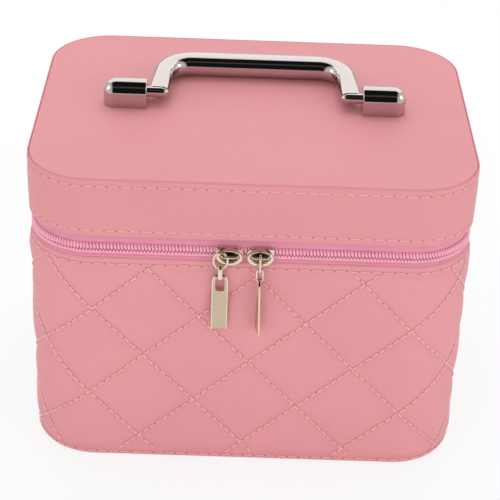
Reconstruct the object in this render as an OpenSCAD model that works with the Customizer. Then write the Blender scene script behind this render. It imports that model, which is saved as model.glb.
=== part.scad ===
// Quilted vanity case with a zipped lid and a folding chrome handle.
// X runs to the right, Y to the back, Z up. The origin is the centre of the underside.

/* [Case] */
// Width over the lid band
case_w = 240; // [200:1:300]
// Depth over the lid band
case_d = 180; // [150:1:230]
// Height from the underside to the top panel
case_h = 180; // [160:1:230]
// Radius of the four upright corners, outside
corner_r = 35; // [28:1:45]
// Height of the line where lid and base part
split_z = 140; // [115:1:145]
// Opening between the lid band and the base cover, filled by the zip
zip_gap = 12.8; // [12:0.2:16]

/* [Walls] */
// Thickness of the padded leathercloth covers
cover_t = 3; // [2.5:0.1:4]
// Thickness of the stiff boards
board_t = 3; // [2:0.1:4]
// Thickness of the wall linings
lining_t = 1; // [0.6:0.1:1.6]
// Thickness of the leathercloth under the base
bottom_t = 1.2; // [0.8:0.1:2]
// Thickness of the top panel, board not counted
panel_t = 2.5; // [1.5:0.1:4]
// Height that the band stands above the top panel as a rim
rim_h = 0.4; // [0.2:0.1:1]

/* [Quilting] */
// Height of one quilted diamond
diamond_h = 56; // [48:1:64]
// Diamonds in one turn of the cover, the last one cut by the back seam
diamonds_round = 13.5; // [12.5:1:15.5]
// How far a diamond's middle stands out from the band's face
crown_out = 1.1; // [0.5:0.1:2]
// How deep a sewn line lies under the band's face
seam_in = 0.8; // [0.4:0.1:1.4]
// Place along the front of one crossing of the sewn lines
crossing_x = -54; // [-70:1:-40]
// Height of that crossing
crossing_z = 127.5; // [110:0.5:140]
// Plain hem at the cover's top and bottom
hem = 8; // [6:0.5:10]

/* [Zip] */
// Thickness of the woven tape
tape_t = 0.7; // [0.5:0.1:1]
// How far the tape is tucked behind each cover
tape_tuck = 6; // [4:0.5:8]
// Width of the closed row of teeth
teeth_w = 7.6; // [6:0.2:9]
// Distance from one tooth to the next on the same tape
tooth_pitch = 4; // [4:0.5:8]
// How far the teeth of one tape reach past the middle line
tooth_mesh = 0.6; // [0.3:0.1:0.8]
// Height of the teeth on the tape
tooth_t = 2.1; // [1.6:0.1:2.4]
// Space between meshing teeth
tooth_gap = 0.15; // [0.1:0.05:0.3]
// Angle that the teeth run into the two back corners
back_run = 48; // [30:1:55]
// Length of the closed end of the zip beyond the last tooth
end_tab_l = 4; // [3:0.5:6]

/* [Sliders] */
// Length of a slider along the zip
slider_l = 14.4; // [12:0.2:17]
// Width of a slider across the zip
slider_w = 10.6; // [9.6:0.2:11.2]
// Thickness of a slider's plate in front of the teeth
plate_t = 1.2; // [1:0.1:1.6]
// Height of the domed rim on the plate
dome_t = 2.4; // [2:0.1:3]
// Space between the two sliders when they meet
slider_gap = 1.8; // [1:0.2:4]
// Where the two sliders meet, from the middle of the front
meet_x = -2.9; // [-6:0.1:6]
// Space that the slider keeps from teeth and tape
slide_gap = 0.15; // [0.1:0.05:0.2]
// Radius of the bar of the bridge that the pull hangs on
bridge_r = 0.7; // [0.6:0.05:0.9]
// Clear height under the bridge
bridge_rise = 2.1; // [1.9:0.1:3]

/* [Pulls] */
// Radius of the wire of the loop
wire_r = 0.6; // [0.5:0.05:0.7]
// Width of the flat tab
tab_w = 8.6; // [7:0.2:9]
// Length of the flat tab
tab_l = 34.4; // [24:0.2:40]
// Thickness of the flat tab
tab_t = 1.5; // [1.2:0.1:2]
// Width of the slot in the tab
slot_w = 5; // [4.4:0.1:6]
// Length of the slot in the tab
slot_l = 6.5; // [6:0.1:9]

/* [Handle] */
// Distance between the inner ends of the two mounts
mount_span = 120; // [100:1:150]
// Length of a mount
mount_l = 24.4; // [20:0.2:30]
// Half the width of a mount and radius of its top
mount_r = 7.3; // [6.6:0.1:8.5]
// Height of the handle's hinge line above the lid
hinge_h = 7.4; // [7:0.1:9]
// Radius of the handle's pivot ends
pivot_r = 3; // [2.6:0.1:3.4]
// Radial running space of the pivot ends in the mounts
pivot_gap = 0.05; // [0.02:0.01:0.1]
// Depth of a pivot end in its mount
pivot_l = 12; // [8:0.5:16]
// Space between a mount and the handle's shoulder
shoulder_gap = 0.4; // [0.2:0.1:1]
// Distance from the hinge line to the middle of the grip
handle_reach = 40; // [32:1:50]
// Width of the grip across the case when it lies flat
grip_w = 15; // [11:0.5:17]
// Thickness of the grip
grip_t = 12.2; // [9:0.1:13]
// Width of a leg near its pivot
leg_w = 11.6; // [9:0.2:13]
// Radius of the bends between grip and legs, on the middle line
bend_r = 17; // [14:0.5:22]
// How far the flat face of a leg lies over its pivot end
leg_over = 0.3; // [0.2:0.1:1]
// Space under the grip when the handle lies flat
grip_gap = 0.5; // [0.3:0.1:2]

/* [Mirror] */
// Width of the mirror in the lid
mirror_w = 122; // [90:1:124]
// Depth of the mirror in the lid
mirror_d = 96; // [70:1:120]
// Thickness of the mirror
mirror_t = 2; // [1.5:0.1:3]
// Width of the frame around the mirror
frame_w = 6; // [5:0.5:12]
// Thickness of the frame under the lid lining
frame_t = 3.2; // [3:0.1:5]

/* [Hidden] */

$fn = 64;
eps = 0.01;
leather = [0.88, 0.58, 0.60];
lining_colour = [0.84, 0.55, 0.58];
zip_colour = [0.90, 0.47, 0.65];
board_colour = [0.72, 0.66, 0.58];
chrome = [0.82, 0.82, 0.84];
pale_metal = [0.80, 0.74, 0.66];
mirror_colour = [0.85, 0.88, 0.9];

// Heights
base_top = split_z - zip_gap / 2;
band_bottom = split_z + zip_gap / 2;
floor_top = bottom_t + board_t;
panel_under = case_h - panel_t;
ceiling_z = panel_under - board_t;

// Insets from the band's outer face
board_in = cover_t;
lining_in = board_in + board_t;
clear_in = lining_in + lining_t;

// Fold line of the lid
fold_y = case_d / 2 - cover_t / 2;
strip_t = 1.6;
strip_half = case_w / 2 - corner_r - 2;
strip_step = 1;
fold_gap = 0.7;

// ---- outline of the case ----

// Plan of the case, drawn in from the band's outer face
module plan(inset) {
    w = case_w - 2 * inset;
    d = case_d - 2 * inset;
    r = corner_r - inset;
    square([w - 2 * r, d], center = true);
    square([w, d - 2 * r], center = true);
    for (sx = [-1, 1], sy = [-1, 1])
        translate([sx * (w / 2 - r), sy * (d / 2 - r)]) circle(r);
}

// Upright ring between two insets
module ring(outer, inner, z0, z1) {
    translate([0, 0, z0]) linear_extrude(z1 - z0) difference() {
        plan(outer);
        plan(inner);
    }
}

// Lengths along the outline, from the middle of the front
front_half = case_w / 2 - corner_r;
corner_len = corner_r * PI / 2;
side_len = case_d - 2 * corner_r;
turn_len = 4 * front_half + 2 * side_len + 4 * corner_len;

function wrap(u) = u - turn_len * floor((u + turn_len / 2) / turn_len);
function arc_at(cx, cy, a, r) = [cx + r * cos(a), cy + r * sin(a), a];

// Point [x, y, direction that the outline faces] at length u, out of the band's face by out
function half_at(u, out) =
    let (cx = case_w / 2 - corner_r, cy = case_d / 2 - corner_r, r = corner_r + out,
         s1 = front_half, s2 = s1 + corner_len, s3 = s2 + side_len, s4 = s3 + corner_len)
    u < s1 ? [u, -case_d / 2 - out, -90] :
    u < s2 ? arc_at(cx, -cy, -90 + (u - s1) / corner_len * 90, r) :
    u < s3 ? [case_w / 2 + out, -cy + (u - s2), 0] :
    u < s4 ? arc_at(cx, cy, (u - s3) / corner_len * 90, r) :
    [cx - (u - s4), case_d / 2 + out, 90];
function outline_at(u, out) =
    let (w = wrap(u), h = half_at(abs(w), out))
    w < 0 ? [-h[0], h[1], 180 - h[2]] : h;

// ---- boards and linings ----

module base_wall_board() {
    color(board_colour) difference() {
        ring(board_in, lining_in, floor_top, base_top - 1);
        tape_rebate(base_top - tape_tuck, base_top);
    }
}

module lid_band_board() {
    color(board_colour) difference() {
        ring(board_in, lining_in, band_bottom + 1, ceiling_z);
        tape_rebate(band_bottom, band_bottom + tape_tuck);
    }
}

// Room for the zip tape between a board and its cover
module tape_rebate(z0, z1) {
    ring(board_in - 1, board_in + tape_t, z0, z1);
}

module base_floor_board() {
    color(board_colour) translate([0, 0, bottom_t]) linear_extrude(board_t) plan(board_in);
}

module lid_top_board() {
    color(board_colour) difference() {
        translate([0, 0, ceiling_z]) linear_extrude(board_t) plan(board_in);
        screw_holes();
    }
}

module base_bottom_cover() {
    color(leather) linear_extrude(bottom_t) plan(board_in);
}

module base_wall_lining() {
    color(lining_colour) ring(lining_in, clear_in, floor_top + lining_t, base_top - 1);
}

module base_floor_lining() {
    color(lining_colour) translate([0, 0, floor_top]) linear_extrude(lining_t) plan(lining_in);
}

module lid_band_lining() {
    color(lining_colour) ring(lining_in, clear_in, band_bottom + 1, ceiling_z - lining_t);
}

module lid_top_lining() {
    color(lining_colour) difference() {
        translate([0, 0, ceiling_z - lining_t]) linear_extrude(lining_t) plan(lining_in);
        screw_holes();
    }
}

// ---- covers ----

module lid_band_cover() {
    color(leather) ring(0, board_in, band_bottom, case_h + rim_h);
}

module lid_top_panel() {
    color(leather) difference() {
        translate([0, 0, panel_under]) linear_extrude(panel_t) plan(board_in);
        screw_holes();
    }
}

// Quilted cover: a net of points on the unrolled wall, turned so that its rows fall
// by a whole number of net rows in one turn and close on themselves at the back seam
net = 6;
columns = net * diamonds_round;
row_h = diamond_h / net;
rows_fallen = 4;
tilt = -asin(rows_fallen * row_h / turn_len);
column_w = turn_len * cos(tilt) / columns;
first_column = -ceil((turn_len / 2 + crossing_x) / (turn_len / columns));
cross_p = crossing_x * cos(tilt) + crossing_z * sin(tilt);
cross_q = -crossing_x * sin(tilt) + crossing_z * cos(tilt);
cover_bottom = 0.4;

function net_u(i, m) = (cross_p + i * column_w) * cos(tilt) - (cross_q + m * row_h) * sin(tilt);
function net_z(i, m) = (cross_p + i * column_w) * sin(tilt) + (cross_q + m * row_h) * cos(tilt);
function row_at(i, z) = ((z - (cross_p + i * column_w) * sin(tilt)) / cos(tilt) - cross_q) / row_h;
function first_row(i) = ceil(row_at(i, cover_bottom + hem));
function last_row(i) = floor(row_at(i, base_top - hem));
puff_power = 0.6;
function puff(i, m) = i == first_column ? 0 :
    pow(abs(sin(180 * (i + m) / net) * sin(180 * (i - m) / net)), puff_power);
function lift(k) = -seam_in + (crown_out + seam_in) * k;
function wall_point(u, out, z) = let (p = outline_at(u, out)) [p[0], p[1], z];

// Points of one upright line of the net, from the lower hem to the upper one
function column_points(i) = [
    wall_point(net_u(i, row_at(i, cover_bottom)), lift(0), cover_bottom),
    for (m = [first_row(i) : last_row(i)])
        wall_point(net_u(i, m), lift(puff(i, m)), net_z(i, m)),
    wall_point(net_u(i, row_at(i, base_top)), lift(0), base_top)
];

// Inner face: flats that touch the round corners of the boards from outside
corner_flats = 5;
inner_wide = (corner_r - board_in) * (1 / cos(45 / corner_flats) - 1);
corner_starts = [front_half, front_half + corner_len + side_len,
                 -front_half - 2 * corner_len - side_len, -front_half - corner_len];
inner_params = [for (s = corner_starts, k = [0 : corner_flats - 1])
    wrap(s + (k + 0.5) * corner_len / corner_flats)];

module base_quilted_cover() {
    cols = [for (i = [0 : columns - 1]) column_points(first_column + i)];
    starts = [for (i = 0, s = 0; i <= columns; s = s + (i < columns ? len(cols[i]) : 0), i = i + 1) s];
    outer = [for (c = cols) each c];
    n_out = len(outer);
    n_in = len(inner_params);
    inner = [for (z = [cover_bottom, base_top], s = inner_params)
        wall_point(s, inner_wide - board_in, z)];
    // the last column closes on the first, whose rows are numbered rows_fallen lower
    function row_count(i) = last_row(first_column + i) - first_row(first_column + i) + 1;
    function vertex(i, m) = i < columns ?
        starts[i] + 1 + m - first_row(first_column + i) :
        starts[0] + 1 + m - rows_fallen - first_row(first_column);
    function low(i) = i < columns ? first_row(first_column + i) : first_row(first_column) + rows_fallen;
    function high(i) = i < columns ? last_row(first_column + i) : last_row(first_column) + rows_fallen;
    function foot(i) = starts[i % columns];
    function head(i) = starts[i % columns] + 1 + row_count(i % columns);
    function split_up(i, m) = (first_column + i - m) % net == 0 ? true :
        (first_column + i + 1 + m) % net == 0 ? false : (i + m) % 2 == 0;
    skin = [for (i = [0 : columns - 1])
        let (lo = max(low(i), low(i + 1)), hi = min(high(i), high(i + 1)))
        each [
            for (m = [lo : hi - 1])
                let (a = vertex(i, m), b = vertex(i + 1, m),
                     c = vertex(i + 1, m + 1), d = vertex(i, m + 1))
                each (split_up(i, m) ? [[a, c, b], [a, d, c]] : [[a, d, b], [b, d, c]]),
            // hems, with one more triangle where a row of the net runs out
            [foot(i), vertex(i, low(i)), foot(i + 1)],
            [foot(i + 1), vertex(i, low(i)), vertex(i + 1, low(i + 1))],
            if (low(i) < lo) [vertex(i, low(i)), vertex(i, lo), vertex(i + 1, lo)],
            if (low(i + 1) < lo) [vertex(i, lo), vertex(i + 1, lo), vertex(i + 1, lo - 1)],
            [head(i), head(i + 1), vertex(i, high(i))],
            [head(i + 1), vertex(i + 1, high(i + 1)), vertex(i, high(i))],
            if (high(i) > hi) [vertex(i, hi + 1), vertex(i + 1, hi), vertex(i, hi)],
            if (high(i + 1) > hi) [vertex(i, hi), vertex(i + 1, hi + 1), vertex(i + 1, hi)]
        ]];
    color(leather) cover_solid(concat(outer, inner), skin, n_out, n_in,
        [for (i = [0 : columns - 1]) foot(i)], [for (i = [0 : columns - 1]) head(i)]);
}

// Closes the skin with its inner face and two flat edges
module cover_solid(points, skin, n_out, n_in, feet, heads) {
    polyhedron(points, concat(skin, edge_faces(feet, points, n_out, n_in, false),
        edge_faces(heads, points, n_out + n_in, n_in, true),
        [for (k = [0 : n_in - 1]) let (j = (k + 1) % n_in)
            each [[n_out + k, n_out + j, n_out + n_in + j],
                  [n_out + k, n_out + n_in + j, n_out + n_in + k]]]), convexity = 10);
}

// Triangles between a closed ring of outer points and the ring of inner points
function bearing(p) = let (a = atan2(p[0], -p[1])) a < 0 ? a + 360 : a;
function edge_faces(ring_ids, points, first_in, n_in, up) =
    let (n = len(ring_ids),
         start = bearing(points[first_in]),
         out_b = [for (id = ring_ids) let (b = bearing(points[id]) - start) b < 0 ? b + 360 : b],
         in_b = [for (k = [0 : n_in - 1])
             let (b = bearing(points[first_in + k]) - start) b < -eps ? b + 360 : b],
         first = [for (j = [0 : n - 1]) if (out_b[j] < out_b[(j + n - 1) % n]) j][0],
         inner_of = [for (j = [0 : n - 1]) len([for (b = in_b) if (b <= out_b[j]) b]) - 1])
    [for (j = [0 : n - 1])
        let (j2 = (j + 1) % n, a = ring_ids[j], b = ring_ids[j2], k = inner_of[j],
             k2 = j2 == first ? inner_of[j2] + n_in : inner_of[j2])
        each [
            up ? [a, first_in + k, b] : [a, b, first_in + k],
            for (t = [k : 1 : k2 - 1])
                let (c = first_in + t % n_in, d = first_in + (t + 1) % n_in)
                up ? [b, c, d] : [b, d, c]
        ]];

// ---- zip ----

tape_low = base_top - tape_tuck;
tape_high = band_bottom + tape_tuck;
teeth_end = front_half + corner_len + side_len + corner_len * back_run / 90;
teeth_front = board_in - tooth_t;

tape_end_y = case_d / 2 - corner_r + (corner_r - board_in) * sin(back_run) + 0.5;

module tape(z0, z1, tuck0, tuck1) {
    color(zip_colour) difference() {
        ring(board_in, board_in + tape_t, z0, z1);
        translate([0, tape_end_y + case_d / 2, (z0 + z1) / 2])
            cube([2 * strip_half, case_d, z1 - z0 + 1], center = true);
        translate([0, tape_end_y + case_d / 2, (tuck0 + tuck1) / 2])
            cube([case_w, case_d, tuck1 - tuck0], center = true);
    }
}

module zip_tape_lower() {
    tape(tape_low, split_z - tooth_gap, base_top, split_z);
}

module zip_tape_upper() {
    tape(split_z + tooth_gap, tape_high, split_z, band_bottom);
}

tooth_w = tooth_pitch / 2 * (1 - board_in / corner_r) - tooth_gap;
teeth_count = floor(2 * teeth_end / tooth_pitch);

// Row of teeth: the two rows stand half a pitch apart and reach past each other
module teeth(z0, z1, shift) {
    color(zip_colour)
    for (k = [0 : teeth_count - 1]) {
        u = -teeth_end + (k + shift) * tooth_pitch;
        p = outline_at(u, -board_in);
        translate([p[0], p[1], z0]) rotate(p[2] - 90)
            translate([-tooth_w / 2, 0, 0]) cube([tooth_w, tooth_t, z1 - z0]);
    }
}

module zip_teeth_lower() {
    teeth(split_z - teeth_w / 2, split_z + tooth_mesh, 0.5);
}

module zip_teeth_upper() {
    teeth(split_z - tooth_mesh, split_z + teeth_w / 2, 1);
}

// Small folded tabs that close the two ends of the zip on the base
module zip_end_tabs() {
    color(zip_colour) for (s = [-1, 1]) {
        p = outline_at(s * (teeth_end + 1 + end_tab_l / 2), -board_in);
        translate([p[0], p[1], split_z - teeth_w / 2]) rotate(p[2] - 90)
            translate([-end_tab_l / 2, 0.05, 0]) cube([end_tab_l, tooth_t, teeth_w / 2 - tooth_gap]);
    }
}

// ---- fold at the back ----

// Half of the strip: tucked into a board's rebate from z_in, out over the cover's edge
// at z_edge, and on to z_fold
module hinge_half(z_in, z_edge, z_fold) {
    up = sign(z_fold - z_in);
    inner_y = case_d / 2 - board_in - tape_t;
    outer_y = fold_y + strip_t / 2;
    strip_block(inner_y, case_d / 2 - board_in, z_in, z_edge + up * strip_step);
    strip_block(inner_y, outer_y, z_edge, z_edge + up * strip_step);
    strip_block(fold_y - strip_t / 2, outer_y, z_edge, z_fold);
}

module strip_block(y0, y1, za, zb) {
    translate([-strip_half, y0, min(za, zb)]) cube([2 * strip_half, y1 - y0, abs(zb - za)]);
}

module fold_rod(r, extra) {
    translate([-strip_half - extra, fold_y, split_z]) rotate([0, 90, 0])
        cylinder(r = r, h = 2 * (strip_half + extra));
}

// The lower half ends in a round bead on the fold line, the upper one in a groove round it
module hinge_strip_lower() {
    color(leather) {
        hinge_half(tape_low, base_top, split_z);
        fold_rod(strip_t / 2, 0);
    }
}

module hinge_strip_upper() {
    color(leather) difference() {
        hinge_half(tape_high, band_bottom, split_z);
        fold_rod(strip_t / 2 + fold_gap, 1);
    }
}

// ---- mirror ----

module centred_box(w, d, h) {
    translate([-w / 2, -d / 2, 0]) cube([w, d, h]);
}

lining_face = ceiling_z - lining_t;
mirror_seat = 0.8;
glass_gap = 0.2;
notch_gap = 0.5;

module mirror_frame() {
    color(leather) difference() {
        translate([0, 0, lining_face - frame_t]) centred_box(mirror_w, mirror_d, frame_t);
        translate([0, 0, lining_face - frame_t - 1])
            centred_box(mirror_w - 2 * frame_w, mirror_d - 2 * frame_w, frame_t + 2);
        translate([0, 0, lining_face - mirror_t])
            centred_box(mirror_w - 2 * frame_w + 2 * mirror_seat + 2 * glass_gap,
                        mirror_d - 2 * frame_w + 2 * mirror_seat + 2 * glass_gap, mirror_t + 1);
        screw_notches();
    }
}

module mirror_glass() {
    color(mirror_colour) difference() {
        translate([0, 0, lining_face - mirror_t])
            centred_box(mirror_w - 2 * frame_w + 2 * mirror_seat,
                        mirror_d - 2 * frame_w + 2 * mirror_seat, mirror_t);
        screw_notches();
    }
}

// Room round the heads of the mount screws, where a wide mirror reaches them
module screw_notches() {
    at_screws() translate([0, 0, lining_face - frame_t - 1])
        cylinder(r = washer_edge + notch_gap, h = frame_t + 2);
}

// ---- handle ----

screw_r = 2;
screw_head_r = 3.8;
screw_head_t = 2.2;
washer_r = 6;
washer_t = 0.8;
washer_gap = 0.2;
screw_pitch = 10;
washer_edge = min(washer_r, screw_pitch / 2 - washer_gap);
screw_hole_gap = 0.3;
screw_bite = 6;
screw_wall = 0.6;
screw_end_gap = 0.2;
screw_slot_w = 1;
screw_slot_t = 0.9;
screw_depth = min(screw_bite, hinge_h - pivot_r - pivot_gap) - screw_wall;
mount_mid = mount_span / 2 + mount_l / 2;
hinge_z = case_h + hinge_h;

module at_screws() {
    for (s = [-1, 1], t = [-1, 1]) translate([s * mount_mid + t * screw_pitch / 2, 0, 0]) children();
}

module screw_holes() {
    at_screws() translate([0, 0, ceiling_z - lining_t - 1])
        cylinder(r = screw_r + screw_hole_gap, h = case_h - ceiling_z + lining_t + 2);
}

// Mount with a round top and a rounded outer end, drawn for the right-hand side
module mount() {
    color(chrome) translate([0, 0, case_h]) difference() {
        union() {
            translate([mount_span / 2, 0, hinge_h]) rotate([0, 90, 0])
                cylinder(r = mount_r, h = mount_l - mount_r);
            translate([mount_span / 2, -mount_r, 0]) cube([mount_l - mount_r, 2 * mount_r, hinge_h]);
            translate([mount_span / 2 + mount_l - mount_r, 0, hinge_h]) sphere(mount_r);
            translate([mount_span / 2 + mount_l - mount_r, 0, 0]) cylinder(r = mount_r, h = hinge_h);
        }
        translate([mount_span / 2 - 1, 0, hinge_h]) rotate([0, 90, 0])
            cylinder(r = pivot_r + pivot_gap, h = pivot_l + 1 + shoulder_gap);
        for (t = [-1, 1]) translate([mount_mid + t * screw_pitch / 2, 0, -1])
            cylinder(r = screw_r, h = screw_depth + 1);
    }
}

module handle_mount_right() {
    mount();
}

module handle_mount_left() {
    mirror([1, 0, 0]) mount();
}

screw_tip = case_h + screw_depth - screw_end_gap;
washer_z = ceiling_z - lining_t - washer_t;

module mount_screws() {
    color(pale_metal) at_screws() {
        translate([0, 0, washer_z]) cylinder(r = screw_r, h = screw_tip - washer_z);
        translate([0, 0, washer_z - screw_head_t]) difference() {
            cylinder(r = screw_head_r, h = screw_head_t);
            translate([-screw_head_r, -screw_slot_w / 2, -1])
                cube([2 * screw_head_r, screw_slot_w, screw_slot_t + 1]);
        }
    }
}

module mount_washers() {
    color(pale_metal) at_screws() translate([0, 0, washer_z]) difference() {
        cylinder(r = washer_edge, h = washer_t);
        translate([0, 0, -1]) cylinder(r = screw_r + eps, h = washer_t + 2);
    }
}

// The handle is a row of rounded sections that run from one shoulder round to the other
leg_x = mount_span / 2 - shoulder_gap - leg_w / 2;
leg_lean = 1.5;
leg_turn = 3;
leg_widening = 0.4;
section_n = 20;
section_power = 0.62;
bend_steps = 6;
leg_top = hinge_z + pivot_r + leg_over;
leg_t = 2 * (pivot_r + leg_over);
grip_top = case_h + grip_gap + grip_t;

// Section: rounded box of width w and thickness t under the flat face
function section(w, t) = [for (k = [0 : section_n - 1])
    let (a = 360 * (k + 0.5) / section_n, c = cos(a), s = sin(a), e = section_power)
    [w / 2 * sign(c) * pow(abs(c), e), -t / 2 + t / 2 * sign(s) * pow(abs(s), e)]];

// Middle line of half the handle: [x, y, direction, width, thickness, height of the flat face]
function leg_line(f) =
    let (y = f * (handle_reach - bend_r), s = f * f * (3 - 2 * f))
    [leg_x - leg_lean * f, y, 90 + leg_turn,
     leg_w + leg_widening * f, leg_t + (grip_t - leg_t) * s, leg_top + (grip_top - leg_top) * s];
function bend_line(f) =
    let (a = 90 * f, cx = leg_x - leg_lean - bend_r, cy = handle_reach - bend_r)
    [cx + bend_r * cos(a), cy + bend_r * sin(a), 90 + a,
     leg_w + leg_widening + (grip_w - leg_w - leg_widening) * f, grip_t, grip_top];
half_line = concat(
    [for (k = [0 : 4]) leg_line(k / 4)],
    [for (k = [1 : bend_steps]) bend_line(k / bend_steps)]);
full_line = concat(half_line,
    [for (k = [len(half_line) - 1 : -1 : 0]) let (p = half_line[k])
        [-p[0], p[1], 360 - p[2], p[3], p[4], p[5]]]);

module bail_bar() {
    n = len(full_line);
    points = [for (i = [0 : n - 1]) let (p = full_line[i], dir = p[2])
        for (q = section(p[3], p[4]))
            [p[0] + q[0] * sin(dir), p[1] - q[0] * cos(dir), p[5] + q[1]]];
    faces = [for (i = [0 : n - 2], k = [0 : section_n - 1])
        let (j = (k + 1) % section_n, a = i * section_n + k, b = i * section_n + j,
             c = a + section_n, d = b + section_n)
        each [[a, b, d], [a, d, c]]];
    ends = [[for (k = [section_n - 1 : -1 : 0]) k],
            [for (k = [0 : section_n - 1]) (n - 1) * section_n + k]];
    polyhedron(points, concat(faces, ends), convexity = 10);
}

module handle_bail() {
    color(chrome) {
        bail_bar();
        for (s = [-1, 1]) scale_x(s) {
            translate([leg_x - leg_w / 2 + pivot_r, 0, hinge_z]) rotate([0, 90, 0])
                cylinder(r = pivot_r, h = mount_span / 2 + pivot_l - leg_x + leg_w / 2 - pivot_r);
            translate([leg_x - leg_w / 2 + pivot_r, 0, hinge_z]) sphere(pivot_r);
        }
    }
}

module scale_x(s) {
    if (s < 0) mirror([1, 0, 0]) children();
    else children();
}

// ---- sliders and pulls ----

slider_front = teeth_front - slide_gap;
plate_y = -(case_d / 2 - slider_front);
dome_y = plate_y - plate_t;
bridge_y = dome_y - dome_t - bridge_rise - bridge_r;
left_mid = meet_x - slider_gap / 2 - slider_l / 2;
right_mid = meet_x + slider_gap / 2 + slider_l / 2;

rim_in = 0.5;
almond_r = 6.4;
almond_in = 3.2;
bridge_half = 4.6;

// Plate with square shoulders at one end and a round nose at the other
module slider_outline(grow) {
    r = slider_w / 2 + grow;
    translate([slider_l / 2 - slider_w / 2, 0]) circle(r);
    translate([-slider_l / 2 - grow, -r]) square([slider_l - slider_w / 2 + grow, 2 * r]);
}

// Stands a drawing of the front view up at the given depth, thick towards the viewer
module stand(y, t) {
    translate([0, y, split_z]) rotate([90, 0, 0]) linear_extrude(t) children();
}

module slider_body(mid, way) {
    color(pale_metal) translate([mid, 0, 0]) scale_x(way) {
        stand(plate_y, plate_t) slider_outline(0);
        // raised rim round an almond-shaped hollow
        stand(dome_y, dome_t) difference() {
            slider_outline(-rim_in);
            intersection() {
                translate([0, almond_in]) circle(almond_r);
                translate([0, -almond_in]) circle(almond_r);
            }
        }
        // lower lip, which runs along the teeth of the base tape
        translate([-slider_l / 2, plate_y - eps, split_z - slider_w / 2])
            cube([slider_l - slider_w / 2, tooth_t, slider_w / 2 - teeth_w / 2 - slide_gap]);
    }
}

module slider_bridge(mid, way) {
    color(pale_metal) translate([mid, 0, split_z]) scale_x(way) {
        translate([-bridge_half, bridge_y, 0]) rotate([0, 90, 0])
            cylinder(r = bridge_r, h = 2 * bridge_half);
        for (s = [-1, 1]) translate([s * bridge_half, dome_y, 0]) rotate([90, 0, 0])
            cylinder(r = bridge_r, h = dome_y - bridge_y);
        for (s = [-1, 1]) translate([s * bridge_half, bridge_y, 0]) sphere(bridge_r);
    }
}

loop_gap = 0.5;
hang_gap = 0.2;
loop_r = bridge_r + loop_gap + wire_r;
loop_drop = 6.6;
link_drop = 4.2;
link_gap = 0.4;
link_r = 2 * wire_r + link_gap;
wire_n = 24;

// Long loop of wire in the plane across X, hanging from a bar along X at the origin
module wire_loop(r, drop) {
    for (z = [0, -drop]) translate([0, 0, z]) rotate([0, 90, 0]) rotate([0, 0, z == 0 ? 90 : -90])
        rotate_extrude(angle = 180) translate([r, 0]) circle(wire_r, $fn = wire_n);
    for (y = [-r, r]) translate([0, y, -drop]) cylinder(r = wire_r, h = drop, $fn = wire_n);
}

// Tab with round shoulders, a slot and a small notch under it, hanging from the origin
tab_shoulder = 2.4;
tab_edge = 1.3;
notch_r = 0.7;

module tab_outline() {
    difference() {
        union() {
            translate([-tab_w / 2, -tab_l]) square([tab_w, tab_l - tab_shoulder]);
            for (s = [-1, 1]) translate([s * (tab_w / 2 - tab_shoulder), -tab_shoulder])
                circle(tab_shoulder);
            translate([-tab_w / 2 + tab_shoulder, -tab_shoulder])
                square([tab_w - 2 * tab_shoulder, tab_shoulder]);
        }
        translate([-slot_w / 2, -tab_edge - slot_l]) square([slot_w, slot_l - slot_w / 2]);
        translate([0, -tab_edge - slot_w / 2]) circle(slot_w / 2);
        translate([0, -tab_edge - slot_l]) circle(notch_r);
    }
}

module tab_plate() {
    rotate([90, 0, 0]) translate([0, 0, -tab_t / 2]) linear_extrude(tab_t) tab_outline();
}

// Left pull: the loop lies flat to the front round the bridge's outer foot
left_hang_x = left_mid - bridge_half;
left_hang_y = dome_y - dome_t - wire_r - hang_gap;
right_hang_x = right_mid;
loop_bottom = -loop_drop - loop_r;
link_top = loop_bottom + wire_r;

module pull_loop_left() {
    color(pale_metal) translate([left_hang_x, left_hang_y, split_z])
        rotate([0, 0, 90]) wire_loop(loop_r, loop_drop);
}

module pull_loop_right() {
    color(pale_metal) translate([right_hang_x, bridge_y, split_z]) wire_loop(loop_r, loop_drop);
}

// Short link between the loop and the tab, turned across the loop
module pull_link(x, y, turn) {
    color(pale_metal) translate([x, y, split_z - loop_drop - loop_r]) rotate(turn)
        wire_loop(link_r, link_drop);
}

module pull_link_left() {
    pull_link(left_hang_x, left_hang_y, 0);
}

module pull_link_right() {
    pull_link(right_hang_x, bridge_y, 90);
}

tab_hang = split_z - loop_drop - loop_r - link_drop - link_r + wire_r + tab_edge + hang_gap;

module pull_tab_left() {
    color(pale_metal) translate([left_hang_x, left_hang_y, tab_hang]) tab_plate();
}

module pull_tab_right() {
    color(pale_metal) translate([right_hang_x, bridge_y, tab_hang]) rotate(90) tab_plate();
}

// ---- parts by name ----

base_wall_board();
base_floor_board();
base_quilted_cover();
base_bottom_cover();
base_wall_lining();
base_floor_lining();
zip_tape_lower();
zip_teeth_lower();
zip_end_tabs();
hinge_strip_lower();
lid_band_board();
lid_top_board();
lid_band_cover();
lid_top_panel();
lid_band_lining();
lid_top_lining();
zip_tape_upper();
zip_teeth_upper();
hinge_strip_upper();
mirror_frame();
mirror_glass();
handle_mount_left();
handle_mount_right();
mount_screws();
mount_washers();
handle_bail();
slider_body(left_mid, 1);  // slider_body_left
slider_bridge(left_mid, 1);  // slider_bridge_left
pull_loop_left();
pull_link_left();
pull_tab_left();
slider_body(right_mid, -1);  // slider_body_right
slider_bridge(right_mid, -1);  // slider_bridge_right
pull_loop_right();
pull_link_right();
pull_tab_right();
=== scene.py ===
"""Looks of the quilted travel case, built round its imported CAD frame. Lengths are in metres."""

import math
from contextlib import contextmanager

import bmesh
import bpy
import numpy as np
from mathutils import Matrix, Vector


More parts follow.
